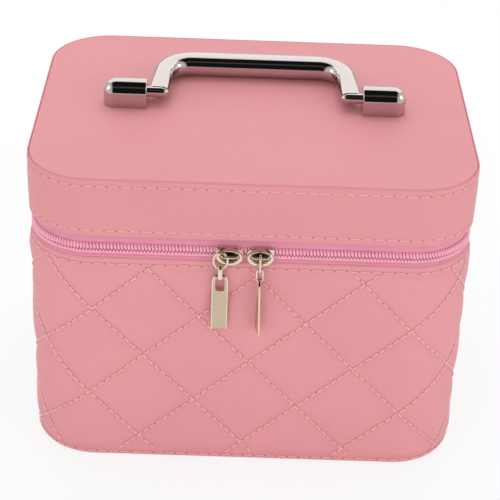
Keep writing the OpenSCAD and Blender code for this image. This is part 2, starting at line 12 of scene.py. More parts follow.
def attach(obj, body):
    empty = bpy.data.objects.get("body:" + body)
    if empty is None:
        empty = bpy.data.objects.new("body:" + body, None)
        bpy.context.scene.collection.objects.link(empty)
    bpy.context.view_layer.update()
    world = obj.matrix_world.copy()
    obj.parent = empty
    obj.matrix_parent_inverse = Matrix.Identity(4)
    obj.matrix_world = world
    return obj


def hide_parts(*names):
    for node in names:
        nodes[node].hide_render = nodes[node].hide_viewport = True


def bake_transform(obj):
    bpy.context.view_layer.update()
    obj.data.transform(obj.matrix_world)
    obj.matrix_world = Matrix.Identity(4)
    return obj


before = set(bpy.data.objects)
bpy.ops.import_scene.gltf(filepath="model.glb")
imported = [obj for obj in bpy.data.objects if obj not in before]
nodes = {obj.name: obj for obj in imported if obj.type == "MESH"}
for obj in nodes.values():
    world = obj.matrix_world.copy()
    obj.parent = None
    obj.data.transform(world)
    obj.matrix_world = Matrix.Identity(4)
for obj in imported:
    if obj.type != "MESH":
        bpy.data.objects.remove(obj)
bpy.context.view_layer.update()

MM = 0.001
NEAR = 0.01 * MM
rng = np.random.default_rng(7)

# ---- sizes shared with the CAD source ----

CASE_W, CASE_D, CASE_H = 0.240, 0.180, 0.180
CORNER_R = 0.035
BASE_TOP = 0.1336
COVER_BOTTOM = 0.0004
SPLIT_Z = 0.140
COVER_T = 0.003

FRONT_HALF = CASE_W / 2 - CORNER_R
SIDE_RUN = CASE_D - 2 * CORNER_R
BEND = CORNER_R * math.pi / 2
TURN = 4 * FRONT_HALF + 2 * SIDE_RUN + 4 * BEND

DIAMONDS_ROUND = 13.5
DIAMOND_H = 0.056
CROSSING = (-0.054, 0.1275)
QUILT_TILT = math.radians(-2.75)
CROWN_OUT, SEAM_IN = 1.0 * MM, 0.65 * MM

# ---- modelling helpers ----


def only(piece):
    """Makes the piece active, and the only one that is selected."""
    bpy.ops.object.select_all(action="DESELECT")
    bpy.context.view_layer.objects.active = piece
    piece.select_set(True)
    return piece


def start(kind, name, **size):
    """A new primitive, with nothing else selected and its place in its mesh."""
    bpy.ops.object.select_all(action="DESELECT")
    getattr(bpy.ops.mesh, f"primitive_{kind}_add")(**size)
    piece = bpy.context.object
    piece.name = piece.data.name = name
    bpy.ops.object.transform_apply(location=True, rotation=True, scale=True)
    return piece


@contextmanager
def editing(piece, mode="VERT"):
    """Edit mode on one piece, with nothing selected at first."""
    only(piece)
    bpy.ops.object.mode_set(mode="EDIT")
    bpy.ops.mesh.select_mode(type=mode)
    bpy.ops.mesh.select_all(action="DESELECT")
    yield
    bpy.ops.object.mode_set(mode="OBJECT")


def pick(test, mode):
    """Selects the faces or edges that pass a test of their middle and their normal or direction."""
    mesh = bmesh.from_edit_mesh(bpy.context.object.data)
    bpy.ops.mesh.select_mode(type=mode)
    bpy.ops.mesh.select_all(action="DESELECT")
    if mode == "EDGE":
        for edge in mesh.edges:
            one, other = (vert.co for vert in edge.verts)
            if test((one + other) / 2, other - one):
                edge.select_set(True)
    else:
        for face in mesh.faces:
            if test(face.calc_center_median(), face.normal):
                face.select_set(True)
    mesh.select_flush_mode()
    bmesh.update_edit_mesh(bpy.context.object.data)


def apply_modifier(piece, kind, **settings):
    """Adds a modifier with these settings and applies it at once."""
    modifier = only(piece).modifiers.new(kind.title(), kind)
    for name, value in settings.items():
        setattr(modifier, name, value)
    bpy.ops.object.modifier_apply(modifier=modifier.name)
    return piece


def round_edges(piece, width, segments, angle):
    """Rounds the edges that are sharper than the angle in degrees."""
    return apply_modifier(piece, "BEVEL", width=width, segments=segments, limit_method="ANGLE",
                          angle_limit=math.radians(angle), harden_normals=False)


def smooth(piece, angle=None):
    """Smooth shading, all over or up to an angle in degrees."""
    only(piece)
    if angle is None:
        bpy.ops.object.shade_smooth()
    else:
        bpy.ops.object.shade_smooth_by_angle(angle=math.radians(angle))
    return piece


def get_points(piece):
    """The piece's points as an array of (x, y, z) rows."""
    co = np.empty(len(piece.data.vertices) * 3)
    piece.data.vertices.foreach_get("co", co)
    return co.reshape(-1, 3)


def set_points(piece, co):
    piece.data.vertices.foreach_set("co", np.asarray(co, float).ravel())
    piece.data.update()
    return piece


def face_out(piece):
    """Turns a closed shell's faces outwards."""
    with editing(piece):
        bpy.ops.mesh.select_all(action="SELECT")
        bpy.ops.mesh.normals_make_consistent(inside=False)
    return piece


def joined(name, parts):
    """One piece made of all the parts."""
    bpy.ops.object.select_all(action="DESELECT")
    for part in parts:
        part.select_set(True)
    bpy.context.view_layer.objects.active = parts[0]
    if len(parts) > 1:
        bpy.ops.object.join()
    piece = bpy.context.object
    piece.name = piece.data.name = name
    return piece


def skinned(name, rings, caps=True):
    """Extrudes a ring of points through a row of rings that have as many points."""
    piece = start("circle", name, vertices=len(rings[0]), radius=0.005, fill_type="NOTHING")
    with editing(piece, "EDGE"):
        bpy.ops.mesh.select_all(action="SELECT")
        for k, ring in enumerate(rings):
            if k:
                bpy.ops.mesh.extrude_region_move()
            mesh = bmesh.from_edit_mesh(piece.data)
            for vert, place in zip([v for v in mesh.verts if v.select], ring):
                vert.co = place
            bmesh.update_edit_mesh(piece.data)
        if caps:
            bpy.ops.mesh.edge_face_add()
            bpy.ops.mesh.select_all(action="DESELECT")
            bpy.ops.mesh.select_non_manifold()
            bpy.ops.mesh.edge_face_add()
        else:
            bpy.ops.mesh.select_all(action="SELECT")
            bpy.ops.mesh.remove_doubles(threshold=1e-6)
    return face_out(piece)


def dress(piece, look, body, slot, *stands_for):
    """Gives a piece its finish, the body it rides on, and the CAD nodes that it stands for."""
    if not piece.data.materials:
        piece.data.materials.append(look)
    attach(piece, body)
    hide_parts(*stands_for)
    return piece


def row_of_copies(name, model, places):
    """One mesh that holds a copy of the model at each 4x4 place; the model is used up."""
    co = get_points(model)
    loops = np.array([loop.vertex_index for loop in model.data.loops])
    starts = np.array([p.loop_start for p in model.data.polygons])
    totals = np.array([p.loop_total for p in model.data.polygons])
    count, points = len(places), len(co)
    place = np.asarray(places, float)
    moved = np.einsum("nij,pj->npi", place[:, :3, :3], co) + place[:, None, :3, 3]
    mesh = bpy.data.meshes.new(name)
    mesh.vertices.add(count * points)
    mesh.vertices.foreach_set("co", moved.ravel())
    mesh.loops.add(count * len(loops))
    mesh.loops.foreach_set("vertex_index", (loops[None] + points * np.arange(count)[:, None]).ravel())
    mesh.polygons.add(count * len(starts))
    mesh.polygons.foreach_set("loop_start", (starts[None] + len(loops) * np.arange(count)[:, None]).ravel())
    mesh.polygons.foreach_set("loop_total", np.tile(totals, count))
    mesh.polygons.foreach_set("use_smooth", [True] * (count * len(starts)))
    which = mesh.attributes.new("copy", "FLOAT", "POINT")
    which.data.foreach_set("value", np.repeat(rng.random(count), points))
    mesh.update(calc_edges=True)
    mesh.validate()
    piece = bpy.data.objects.new(name, mesh)
    bpy.context.scene.collection.objects.link(piece)
    bpy.data.objects.remove(model)
    return piece


# ---- the case's outline ----


def round_case(u, out):
    """Plan point and outward direction at length u along the band from the middle of its front."""
    w = np.mod(np.asarray(u, float) + TURN / 2, TURN) - TURN / 2
    a = np.abs(w)
    s1 = FRONT_HALF
    s2 = s1 + BEND
    s3 = s2 + SIDE_RUN
    s4 = s3 + BEND
    turn = -math.pi / 2 + math.pi / 2 * (np.clip(a - s1, 0, BEND) + np.clip(a - s3, 0, BEND)) / BEND
    x = np.minimum(a, s1) - np.clip(a - s4, 0, None)
    y = -(CASE_D / 2 - CORNER_R) + np.clip(a - s2, 0, SIDE_RUN)
    side = np.where(w < 0, -1.0, 1.0)
    r = CORNER_R + out
    return (side * (x + r * np.cos(turn)), y + r * np.sin(turn), side * np.cos(turn), np.sin(turn))


def wrap(piece):
    """Bends a flat strip round the case: x runs along the outline, -y faces outwards."""
    co = get_points(piece)
    x, y, _, _ = round_case(co[:, 0], -co[:, 1])
    return set_points(piece, np.stack([x, y, co[:, 2]], 1))


def weld(piece, gap=0.02 * MM):
    """Merges points that lie in the same place."""
    with editing(piece):
        bpy.ops.mesh.select_all(action="SELECT")
        bpy.ops.mesh.remove_doubles(threshold=gap)
    return piece


def place_of(origin, *axes):
    """4x4 place with this origin and these x, y and z axes."""
    place = Matrix.Identity(4)
    for column, vector in zip((3, 0, 1, 2), (origin, *axes)):
        place.col[column][:3] = vector
    return place


def case_place(u, out, z, along=0.0):
    """4x4 place on the band: x along the outline, y into the case, z up, turned in its plane by along."""
    x, y, nx, ny = (float(v) for v in round_case(u, out))
    into, up = Vector((-nx, -ny, 0)), Vector((0, 0, 1))
    right = into.cross(up)
    c, s = math.cos(along), math.sin(along)
    return place_of((x, y, z), right * c + up * s, into, up * c - right * s)


# ---- shader helpers ----


def add_node(tree, kind, inputs=None, **settings):
    """A shader node; each input is a value or the socket it is linked to."""
    made = tree.nodes.new("ShaderNode" + kind)
    for name, value in settings.items():
        setattr(made, name, value)
    for key, value in (inputs or {}).items():
        socket = made.inputs[key]
        if isinstance(value, bpy.types.NodeSocket):
            tree.links.new(value, socket)
        elif isinstance(value, (tuple, list)) and len(value) == 3 and len(socket.default_value) == 4:
            socket.default_value = (*value, 1)
        else:
            socket.default_value = value
    return made


def math_node(tree, operation, *values, clamp=False):
    return add_node(tree, "Math", dict(enumerate(values)), operation=operation, use_clamp=clamp).outputs[0]


def mix_colour(tree, factor, first, second):
    made = add_node(tree, "Mix", data_type="RGBA")
    for index, value in ((0, factor), (6, first), (7, second)):
        if isinstance(value, bpy.types.NodeSocket):
            tree.links.new(value, made.inputs[index])
        elif index == 0:
            made.inputs[index].default_value = value
        else:
            made.inputs[index].default_value = (*value[:3], 1)
    return made.outputs[2]


def span(tree, value, low, high, to_low=0.0, to_high=1.0, smooth_step=False):
    """Maps a value from one range to another and stops at its ends."""
    return add_node(tree, "MapRange", {"Value": value, "From Min": low, "From Max": high,
                                       "To Min": to_low, "To Max": to_high},
                    interpolation_type="SMOOTHSTEP" if smooth_step else "LINEAR").outputs[0]


def effect(name, inputs, outputs):
    """A node group with named sockets; returns it with its input and output nodes."""
    group = bpy.data.node_groups.new(name, "ShaderNodeTree")
    for label, (kind, value) in inputs.items():
        socket = group.interface.new_socket(name=label, in_out="INPUT", socket_type="NodeSocket" + kind)
        if value is not None:
            socket.default_value = value
    for label, kind in outputs.items():
        group.interface.new_socket(name=label, in_out="OUTPUT", socket_type="NodeSocket" + kind)
    return group, group.nodes.new("NodeGroupInput").outputs, group.nodes.new("NodeGroupOutput").inputs


def use_effect(tree, group, **inputs):
    """Puts a shared effect into a tree and returns its outputs."""
    made = tree.nodes.new("ShaderNodeGroup")
    made.node_tree = group
    for label, value in inputs.items():
        socket = made.inputs[label.replace("_", " ")]
        if isinstance(value, bpy.types.NodeSocket):
            tree.links.new(value, socket)
        else:
            socket.default_value = (*value, 1) if isinstance(value, tuple) and len(value) == 3 and \
                len(socket.default_value) == 4 else value
    return made.outputs


def finish(name, colour, roughness, **sockets):
    """A new material with its Principled BSDF; colour and roughness may be linked over later."""
    material = bpy.data.materials.new(name)
    material.use_nodes = True
    tree = material.node_tree
    shader = tree.nodes["Principled BSDF"]
    shader.inputs["Base Color"].default_value = (*colour, 1)
    shader.inputs["Roughness"].default_value = roughness
    for label, value in sockets.items():
        shader.inputs[label.replace("_", " ")].default_value = value
    material.diffuse_color = (*colour, 1)
    return material, tree, shader


def place_on(tree, turn=(0, 0, 0)):
    """The piece's own coordinates, turned if asked."""
    at = add_node(tree, "TexCoord").outputs["Object"]
    return add_node(tree, "Mapping", {"Vector": at, "Rotation": turn}).outputs[0]


def bump_into(tree, shader, height, distance, strength):
    bump = add_node(tree, "Bump", {"Height": height, "Distance": distance, "Strength": strength})
    tree.links.new(bump.outputs[0], shader.inputs["Normal"])


# ---- shared effects ----


def make_grain():
    """Fine pebbled grain of coated leather, with its pores and soft creases."""
    group, given, out = effect("leather_grain", {"Vector": ("Vector", None)},
                               {"Height": "Float", "Pores": "Float"})
    at = given["Vector"]
    wander = add_node(group, "TexNoise", {"Vector": at, "Scale": 240.0, "Detail": 3.0, "Roughness": 0.6})
    drawn = {0: wander.outputs["Color"], 1: (1.4 * MM,) * 3}
    bent = add_node(group, "VectorMath", {
        0: at, 1: add_node(group, "VectorMath", drawn, operation="MULTIPLY").outputs[0]})
    cells = add_node(group, "TexVoronoi", {"Vector": bent.outputs[0], "Scale": 1250.0, "Randomness": 1.0},
                     feature="DISTANCE_TO_EDGE")
    pebble = span(group, cells.outputs["Distance"], 0.0, 0.34, 0.0, 1.0, smooth_step=True)
    fine = add_node(group, "TexNoise", {"Vector": at, "Scale": 3200.0, "Detail": 2.0})
    crease = add_node(group, "TexNoise", {"Vector": at, "Scale": 90.0, "Detail": 4.0, "Roughness": 0.65})
    height = math_node(group, "ADD", math_node(group, "MULTIPLY", pebble, 0.7),
                       math_node(group, "ADD", math_node(group, "MULTIPLY", fine.outputs[0], 0.25),
                                 math_node(group, "MULTIPLY", crease.outputs[0], 0.7)))
    group.links.new(height, out["Height"])
    group.links.new(math_node(group, "SUBTRACT", 1.0, pebble), out["Pores"])
    return group


def make_drift():
    """Slow colour change over a surface, between a colour and its lighter and darker neighbours."""
    group, given, out = effect("colour_drift", {
        "Vector": ("Vector", None), "Colour": ("Color", (1, 1, 1, 1)), "Amount": ("Float", 0.06),
        "Size": ("Float", 18.0)}, {"Colour": "Color"})
    noise = add_node(group, "TexNoise", {"Vector": given["Vector"], "Scale": given["Size"], "Detail": 3.0})
    shift = math_node(group, "MULTIPLY", math_node(group, "SUBTRACT", noise.outputs[0], 0.5), given["Amount"])
    value = math_node(group, "ADD", 1.0, math_node(group, "MULTIPLY", shift, 2.0))
    made = add_node(group, "HueSaturation", {"Color": given["Colour"], "Value": value,
                                             "Hue": math_node(group, "ADD", 0.5,
                                                              math_node(group, "MULTIPLY", shift, 0.06))})
    group.links.new(made.outputs[0], out["Colour"])
    return group


def make_rubbed():
    """Fine rubbed lines and smudges of a handled metal surface."""
    group, given, out = effect("rubbed_metal", {"Vector": ("Vector", None), "Roughness": ("Float", 0.1),
                                                "Change": ("Float", 0.1)},
                               {"Roughness": "Float", "Height": "Float"})
    smudge = add_node(group, "TexNoise", {"Vector": given["Vector"], "Scale": 90.0, "Detail": 3.0})
    long_way = add_node(group, "Mapping", {"Vector": given["Vector"], "Scale": (60.0, 2200.0, 2200.0)})
    lines = add_node(group, "TexNoise", {"Vector": long_way.outputs[0], "Scale": 1.0, "Detail": 2.0})
    amount = math_node(group, "ADD", math_node(group, "MULTIPLY", smudge.outputs[0], 0.6),
                       math_node(group, "MULTIPLY", lines.outputs[0], 0.4))
    group.links.new(math_node(group, "ADD", given["Roughness"],
                              math_node(group, "MULTIPLY", math_node(group, "SUBTRACT", amount, 0.5),
                                        given["Change"])), out["Roughness"])
    group.links.new(lines.outputs[0], out["Height"])
    return group


def make_weave():
    """Fine plain weave on the surface's own map, whose units are metres."""
    group, given, out = effect("weave", {"Vector": ("Vector", None), "Pitch": ("Float", 0.0006)},
                               {"Thread": "Float"})
    ways = []
    split = add_node(group, "SeparateXYZ", {0: given["Vector"]}).outputs
    for axis in (0, 1):
        across, beside = (math_node(group, "DIVIDE", split[k], given["Pitch"]) for k in (axis, 1 - axis))
        turns = math_node(group, "ADD", across, math_node(group, "FLOOR", beside))
        wave = math_node(group, "SINE", math_node(group, "MULTIPLY", turns, math.pi))
        over = math_node(group, "ADD", math_node(group, "MULTIPLY", wave, 0.5 - axis), 0.5)
        body = math_node(group, "SINE", math_node(group, "MULTIPLY", beside, math.pi))
        ways.append(math_node(group, "MULTIPLY", over, math_node(group, "ABSOLUTE", body)))
    group.links.new(math_node(group, "MAXIMUM", *ways), out["Thread"])
    return group


grain = make_grain()
drift = make_drift()
rubbed = make_rubbed()
weave = make_weave()

# ---- finishes ----

# painted light: the quilted walls are the same leather as the plain pieces, given a slightly lighter copy of
# its colour to make up for the less light they get
QUILT_PINK_LIGHTENED = (0.765, 0.322, 0.342)
# deeper pink of the pores, also used as painted shade in seams, folds and creases
PINK_PORE_AND_SEAM_SHADE = (0.56, 0.135, 0.165)
THREAD_PINK = (0.98, 0.62, 0.61)
TAPE_PINK = (0.84, 0.35, 0.47)
COIL_PINK = (0.90, 0.39, 0.51)


def leather(name, colour, roughness=0.46, amount=0.05):
    """Coated leather: grain, pores, slow drift, and painted shade: a deeper tone where a seam draws it in."""
    material, tree, shader = finish(name, colour, roughness, Specular_IOR_Level=0.38)
    at = place_on(tree)
    surface = use_effect(tree, grain, Vector=at)
    tone = use_effect(tree, drift, Vector=at, Colour=colour, Amount=amount)["Colour"]
    tone = mix_colour(tree, math_node(tree, "MULTIPLY", surface["Pores"], 0.16), tone, PINK_PORE_AND_SEAM_SHADE)
    # painted shade: darker where the piece marks a seam, a fold or a crease
    seam = add_node(tree, "Attribute", attribute_name="drawn_in").outputs["Fac"]
    tone = mix_colour(tree, math_node(tree, "MULTIPLY", seam, 0.2), tone, PINK_PORE_AND_SEAM_SHADE)
    tree.links.new(tone, shader.inputs["Base Color"])
    tree.links.new(span(tree, surface["Pores"], 0, 1, roughness - 0.05, roughness + 0.14),
                   shader.inputs["Roughness"])
    bump_into(tree, shader, surface["Height"], 0.05 * MM, 0.55)
    return material


def metal(name, colour, roughness, change, bump=0.0, metallic=1.0):
    """Plated or plain metal, a little rubbed."""
    material, tree, shader = finish(name, colour, roughness, Metallic=metallic)
    worn = use_effect(tree, rubbed, Vector=place_on(tree), Roughness=roughness, Change=change)
    tree.links.new(worn["Roughness"], shader.inputs["Roughness"])
    if bump:
        bump_into(tree, shader, worn["Height"], bump, 0.3)
    return material


def woven(name, colour, deep, pitch=0.6 * MM, depth=0.12 * MM):
    """Plain woven cloth; deep is the colour between its threads."""
    material, tree, shader = finish(name, colour, 0.75, Sheen_Weight=0.25, Sheen_Roughness=0.4)
    on_map = add_node(tree, "UVMap", uv_map="UVMap").outputs[0]
    cloth = use_effect(tree, weave, Vector=on_map, Pitch=pitch)
    tone = mix_colour(tree, cloth["Thread"], deep, colour)
    tone = use_effect(tree, drift, Vector=place_on(tree), Colour=tone, Amount=0.08, Size=60.0)["Colour"]
    tree.links.new(tone, shader.inputs["Base Color"])
    bump_into(tree, shader, cloth["Thread"], depth, 0.8)
    return material


def twisted(name, colour, deep, roughness=0.55):
    """Twisted sewing thread: slanting plies over the piece."""
    material, tree, shader = finish(name, colour, roughness, Sheen_Weight=0.3)
    at = place_on(tree, (0.5, 0.6, 0.7))
    plies = add_node(tree, "TexWave", {"Vector": at, "Scale": 620.0, "Distortion": 1.5, "Detail": 1.0})
    tree.links.new(mix_colour(tree, plies.outputs["Fac"], deep, colour), shader.inputs["Base Color"])
    bump_into(tree, shader, plies.outputs["Fac"], 0.05 * MM, 0.6)
    return material


# painted light: the quilted leather is a lighter copy of the plain leather's colour
quilted_leather = leather("quilted_leather", QUILT_PINK_LIGHTENED)
plain_leather = leather("plain_leather", (0.745, 0.305, 0.322))
thread = twisted("sewing_thread", THREAD_PINK, (0.80, 0.33, 0.34))
# painted shade: a dark finish for the discs that stand for the shadow inside the needle holes
needle_hole_shade = twisted("needle_hole_shade", (0.34, 0.085, 0.105), (0.24, 0.05, 0.07), 0.8)
tape_cloth = woven("zip_tape", TAPE_PINK, (0.68, 0.21, 0.32))
coil_nylon, _tree, _shader = finish("zip_teeth", COIL_PINK, 0.32, Specular_IOR_Level=0.6)
_tone = use_effect(_tree, drift, Vector=place_on(_tree), Colour=COIL_PINK, Amount=0.12, Size=140.0)["Colour"]
_tree.links.new(_tone, _shader.inputs["Base Color"])
chrome = metal("chrome", (0.58, 0.53, 0.52), 0.04, 0.05)
pale_gold = metal("pale_metal", (0.60, 0.485, 0.35), 0.27, 0.04)
pale_polished = metal("pale_polished", (0.80, 0.69, 0.55), 0.09, 0.06)
mirror_silver = metal("mirror_silver", (0.80, 0.83, 0.85), 0.03, 0.01, metallic=0.62)
# painted shade: near-black metal that stands for the shadow in the slider's eye
eye_shade_metal = metal("eye_shade_metal", (0.045, 0.040, 0.040), 0.25, 0.05)
lining_cloth = woven("lining_cloth", (0.72, 0.35, 0.37), (0.60, 0.24, 0.27), pitch=0.35 * MM, depth=0.05 * MM)
grey_board = leather("grey_board", (0.42, 0.38, 0.34), roughness=0.85, amount=0.2)
screw_steel = metal("screw_steel", (0.70, 0.68, 0.66), 0.30, 0.2, 0.01 * MM)


# ---- quilted cover of the base ----


def quilt_lines(u, z):
    """The two families of sewn lines as running numbers: a line lies at each whole one."""
    c, s = math.cos(QUILT_TILT), math.sin(QUILT_TILT)
    du, dz = u - CROSSING[0], z - CROSSING[1]
    across = (du * c + dz * s) / (TURN / DIAMONDS_ROUND * c)
    up = (-du * s + dz * c) / DIAMOND_H
    return across + up, across - up


def risen(distance, blunt, reach):
    """Height of padding, 0 to 1, at a distance from a seam: blunt in the seam, full beyond the reach."""
    return 1 - np.exp((blunt - np.sqrt(distance ** 2 + blunt ** 2)) / reach)


def flank(d):
    """Height of the padding at a distance d from a sewn line, in diamonds."""
    return risen(d, 0.035, 0.12)


def lifted(u, z, inner):
    """Relief of the padding over the board, and how far a seam draws the leather in (0 to 1), which also sets
    the painted seam shade.
    """
    p, q = quilt_lines(u, z)
    to_p, to_q = (0.5 - np.abs(np.mod(v, 1) - 0.5) for v in (p, q))
    body = flank(to_p) * flank(to_q) / flank(0.5) ** 2
    drawn = np.exp(-np.minimum(to_p, to_q) / 0.028)
    # the two ends of the strip are joined in a seam down the middle of the back
    to_join = (TURN / 2 - np.abs(u)) / MM
    body = body * risen(to_join, 0.7, 2.0)
    drawn = np.maximum(drawn, np.exp(-to_join / 0.6))
    edge = np.minimum(z - (COVER_BOTTOM + inner), BASE_TOP - inner - z) / MM
    flat = np.clip(edge / 5.5, 0, 1)
    flat = flat * flat * (3 - 2 * flat)
    return body * flat, drawn * flat


def make_quilted_cover():
    """Padded leather cover: a strip of fine squares, quilted, then bent round the case."""
    columns, rows = 720, 124
    cover = start("grid", "quilted_cover", x_subdivisions=columns, y_subdivisions=rows, size=1,
                  rotation=(math.pi / 2, 0, 0))
    co = get_points(cover)
    u = co[:, 0] * TURN
    z = COVER_BOTTOM + (co[:, 2] + 0.5) * (BASE_TOP - COVER_BOTTOM)
    body, drawn = lifted(u, z, 3.4 * MM)
    puckers = 0.07 * MM * np.sin(u / MM * 2.1 + z / MM * 0.9) * np.exp(-((0.12 - drawn) / 0.12) ** 2)
    slack = 0.10 * MM * np.sin(u * 61 + np.sin(z * 83) * 1.7) * np.sin(z * 97 + 1.1 * np.sin(u * 47))
    out = -SEAM_IN + (CROWN_OUT + SEAM_IN) * body + (puckers + slack) * body
    rim = np.minimum(z - COVER_BOTTOM, BASE_TOP - z) / MM
    roll = np.clip(1 - rim / 1.5, 0, 1)
    out -= 1.15 * MM * (1 - np.sqrt(np.clip(1 - roll ** 2, 0, 1)))
    out += 0.12 * MM * np.exp(-((rim - 2.2) / 0.9) ** 2)
    set_points(cover, np.stack([u, -out, z], 1))
    # painted shade along the sewn lines and the back join
    mark(cover, "drawn_in", np.clip(drawn, 0, 1))
    wrap(weld(cover))
    weld(cover)
    with editing(cover, "EDGE"):
        # the rims turn in over the board and the back of the padding closes the shell
        for low in (True, False):
            edge_z = COVER_BOTTOM if low else BASE_TOP
            pick(lambda m, d: abs(m.z - edge_z) < NEAR and abs(d.z) < NEAR, "EDGE")
            bpy.ops.mesh.extrude_region_move()
            mesh = bmesh.from_edit_mesh(cover.data)
            for vert in (v for v in mesh.verts if v.select):
                angle = math.atan2(*vert.co.yx)
                plan = Vector(vert.co.xy)
                core = Vector((max(-FRONT_HALF, min(FRONT_HALF, plan.x)),
                               max(-(CASE_D / 2 - CORNER_R), min(CASE_D / 2 - CORNER_R, plan.y))))
                vert.co.xy = core + (plan - core).normalized() * (CORNER_R - COVER_T)
            bmesh.update_edit_mesh(cover.data)
        inner_r = CORNER_R - COVER_T
        pick(lambda m, d: abs(d.z) < NEAR and min(abs(m.z - COVER_BOTTOM), abs(m.z - BASE_TOP)) < NEAR
             and from_core(m) < inner_r + 0.2 * MM, "EDGE")
        bpy.ops.mesh.bridge_edge_loops()
    face_out(cover)
    return smooth(cover, 60)


def from_core(point):
    """Distance in plan from the straight-sided core that the corners are rounded about."""
    x = abs(point.x) - FRONT_HALF
    y = abs(point.y) - (CASE_D / 2 - CORNER_R)
    return math.hypot(max(x, 0), max(y, 0)) if x > 0 and y > 0 else max(x, y)


# ---- stitches ----


def stitch_model(length, width, name="stitch"):
    """One stitch: a plump thread that dives into the leather at both ends."""
    model = start("cylinder", name, vertices=8, radius=1, depth=1, rotation=(0, math.pi / 2, 0))
    with editing(model, "FACE"):
        for side in (-1, 1):
            pick(lambda m, n: n.x * side > 0.9, "FACE")
            bpy.ops.mesh.extrude_region_move(TRANSFORM_OT_translate={"value": (side * 0.25, 0, 0)})
            bpy.ops.transform.resize(value=(1, 0.5, 0.5))
            bpy.ops.transform.translate(value=(0, 0.9, 0))
    co = get_points(model)
    middle = np.abs(co[:, 0]) < 0.6
    co[:, 0] *= length / 1.5
    co[:, 1:] *= width / 2
    co[middle, 1] -= 0.06 * width
    return smooth(set_points(model, co))


def hole_model(size, name="needle_hole_shade"):
    """The needle's hole: a small dished disc, which carries the hole's painted shade."""
    model = start("circle", name, vertices=8, radius=size / 2, fill_type="NGON", rotation=(math.pi / 2, 0, 0))
    with editing(model, "FACE"):
        pick(lambda m, n: True, "FACE")
        bpy.ops.mesh.inset(thickness=size * 0.2)
        bpy.ops.transform.translate(value=(0, size * 0.12, 0))
    return smooth(model)


QUILT_STITCH, HEM_STITCH = 4.8 * MM, 6.4 * MM


def quilt_stitch_places():
    """Places of the quilting stitches: along each sewn line, from hem to hem."""
    low, high = COVER_BOTTOM + 4.2 * MM, BASE_TOP - 4.6 * MM
    c, s = math.cos(QUILT_TILT), math.sin(QUILT_TILT)
    wide = TURN / DIAMONDS_ROUND * c
    places, holes = [], []
    for sign in (1, -1):
        by_u = c / wide - sign * s / DIAMOND_H
        by_z = s / wide + sign * c / DIAMOND_H
        for line in range(-24, 25):
            start_u, end_u = (CROSSING[0] + (line - by_z * (z - CROSSING[1])) / by_u for z in (low, high))
            run = math.hypot(end_u - start_u, high - low)
            along = math.atan2(high - low, end_u - start_u)
            count = int(run // QUILT_STITCH)
            for k in range(count + 1):
                at = (k * QUILT_STITCH + 0.5 * (run - count * QUILT_STITCH)) / run
                u, z = start_u + (end_u - start_u) * at, low + (high - low) * at
                if abs(u) > TURN / 2 - 3 * MM:
                    continue
                holes.append(case_place(u, -SEAM_IN + 0.20 * MM, z, along))
                if k < count:
                    u, z = (u + (end_u - start_u) * 0.5 * QUILT_STITCH / run,
                            z + (high - low) * 0.5 * QUILT_STITCH / run)
                    if abs(u) < TURN / 2 - 4 * MM:
                        places.append(case_place(u, -SEAM_IN + 0.34 * MM, z,
                                                 along + 0.05 * rng.standard_normal()))
    return places, holes


def hem_stitch_places(z, out, first=0.0):
    """Places of one row of stitches that runs level round the case."""
    count = int((TURN - 8 * MM) / HEM_STITCH)
    begin = -count * HEM_STITCH / 2 + first
    holes = [case_place(begin + k * HEM_STITCH, out - 0.02 * MM, z) for k in range(count + 1)]
    places = [case_place(begin + (k + 0.5) * HEM_STITCH, out, z + 0.05 * MM * rng.standard_normal(),
                         0.03 * rng.standard_normal()) for k in range(count)]
    return places, holes


def sew(name, places, holes, body, length, width, hole=1.35):
    """A run of stitches and needle holes; hole is a hole's width in thread widths."""
    for part, model, spots, look in (
            ("thread", stitch_model(length, width), places, thread),
            ("holes", hole_model(width * hole), holes, needle_hole_shade)):
        row = row_of_copies(f"{name}_{part}", model, spots)
        row.data.materials.append(look)
        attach(row, body)


# ---- plain leather of the lid ----


def swept(name, profile, columns, wave=0.0):
    """A profile of (out, z) points in millimetres, carried round the case as a closed strip."""
    rows = len(profile) - 1
    strip = start("grid", name, x_subdivisions=columns, y_subdivisions=rows, size=1,
                  rotation=(math.pi / 2, 0, 0))
    co = get_points(strip)
    row = np.rint((co[:, 2] + 0.5) * rows).astype(int)
    points = np.array(profile) * MM
    u = co[:, 0] * TURN
    round_it = 2 * math.pi * u / TURN
    out = points[row, 0] + wave * np.sin(round_it * 5 + (row % rows) * 0.35) * np.sin(round_it * 2 + 1.3)
    set_points(strip, np.stack([u, -out, points[row, 1]], 1))
    stretch = strip.data.uv_layers.active.data
    run = np.concatenate([[0], np.cumsum(np.linalg.norm(np.diff(points, axis=0), axis=1))])
    uv = np.empty(len(stretch) * 2)
    stretch.foreach_get("uv", uv)
    uv = uv.reshape(-1, 2)
    uv[:, 0] *= TURN
    uv[:, 1] = run[np.rint(uv[:, 1] * rows).astype(int)]
    stretch.foreach_set("uv", uv.ravel())
    wrap(strip)
    weld(strip)
    face_out(strip)
    return smooth(strip)


def mark(piece, name, value):
    """Keeps one value for each point, for the piece's material to read."""
    data = piece.data.attributes.new(name, "FLOAT", "POINT")
    data.data.foreach_set("value", np.asarray(value, np.float32))


STITCH_ROWS = (150.3, 176.7)


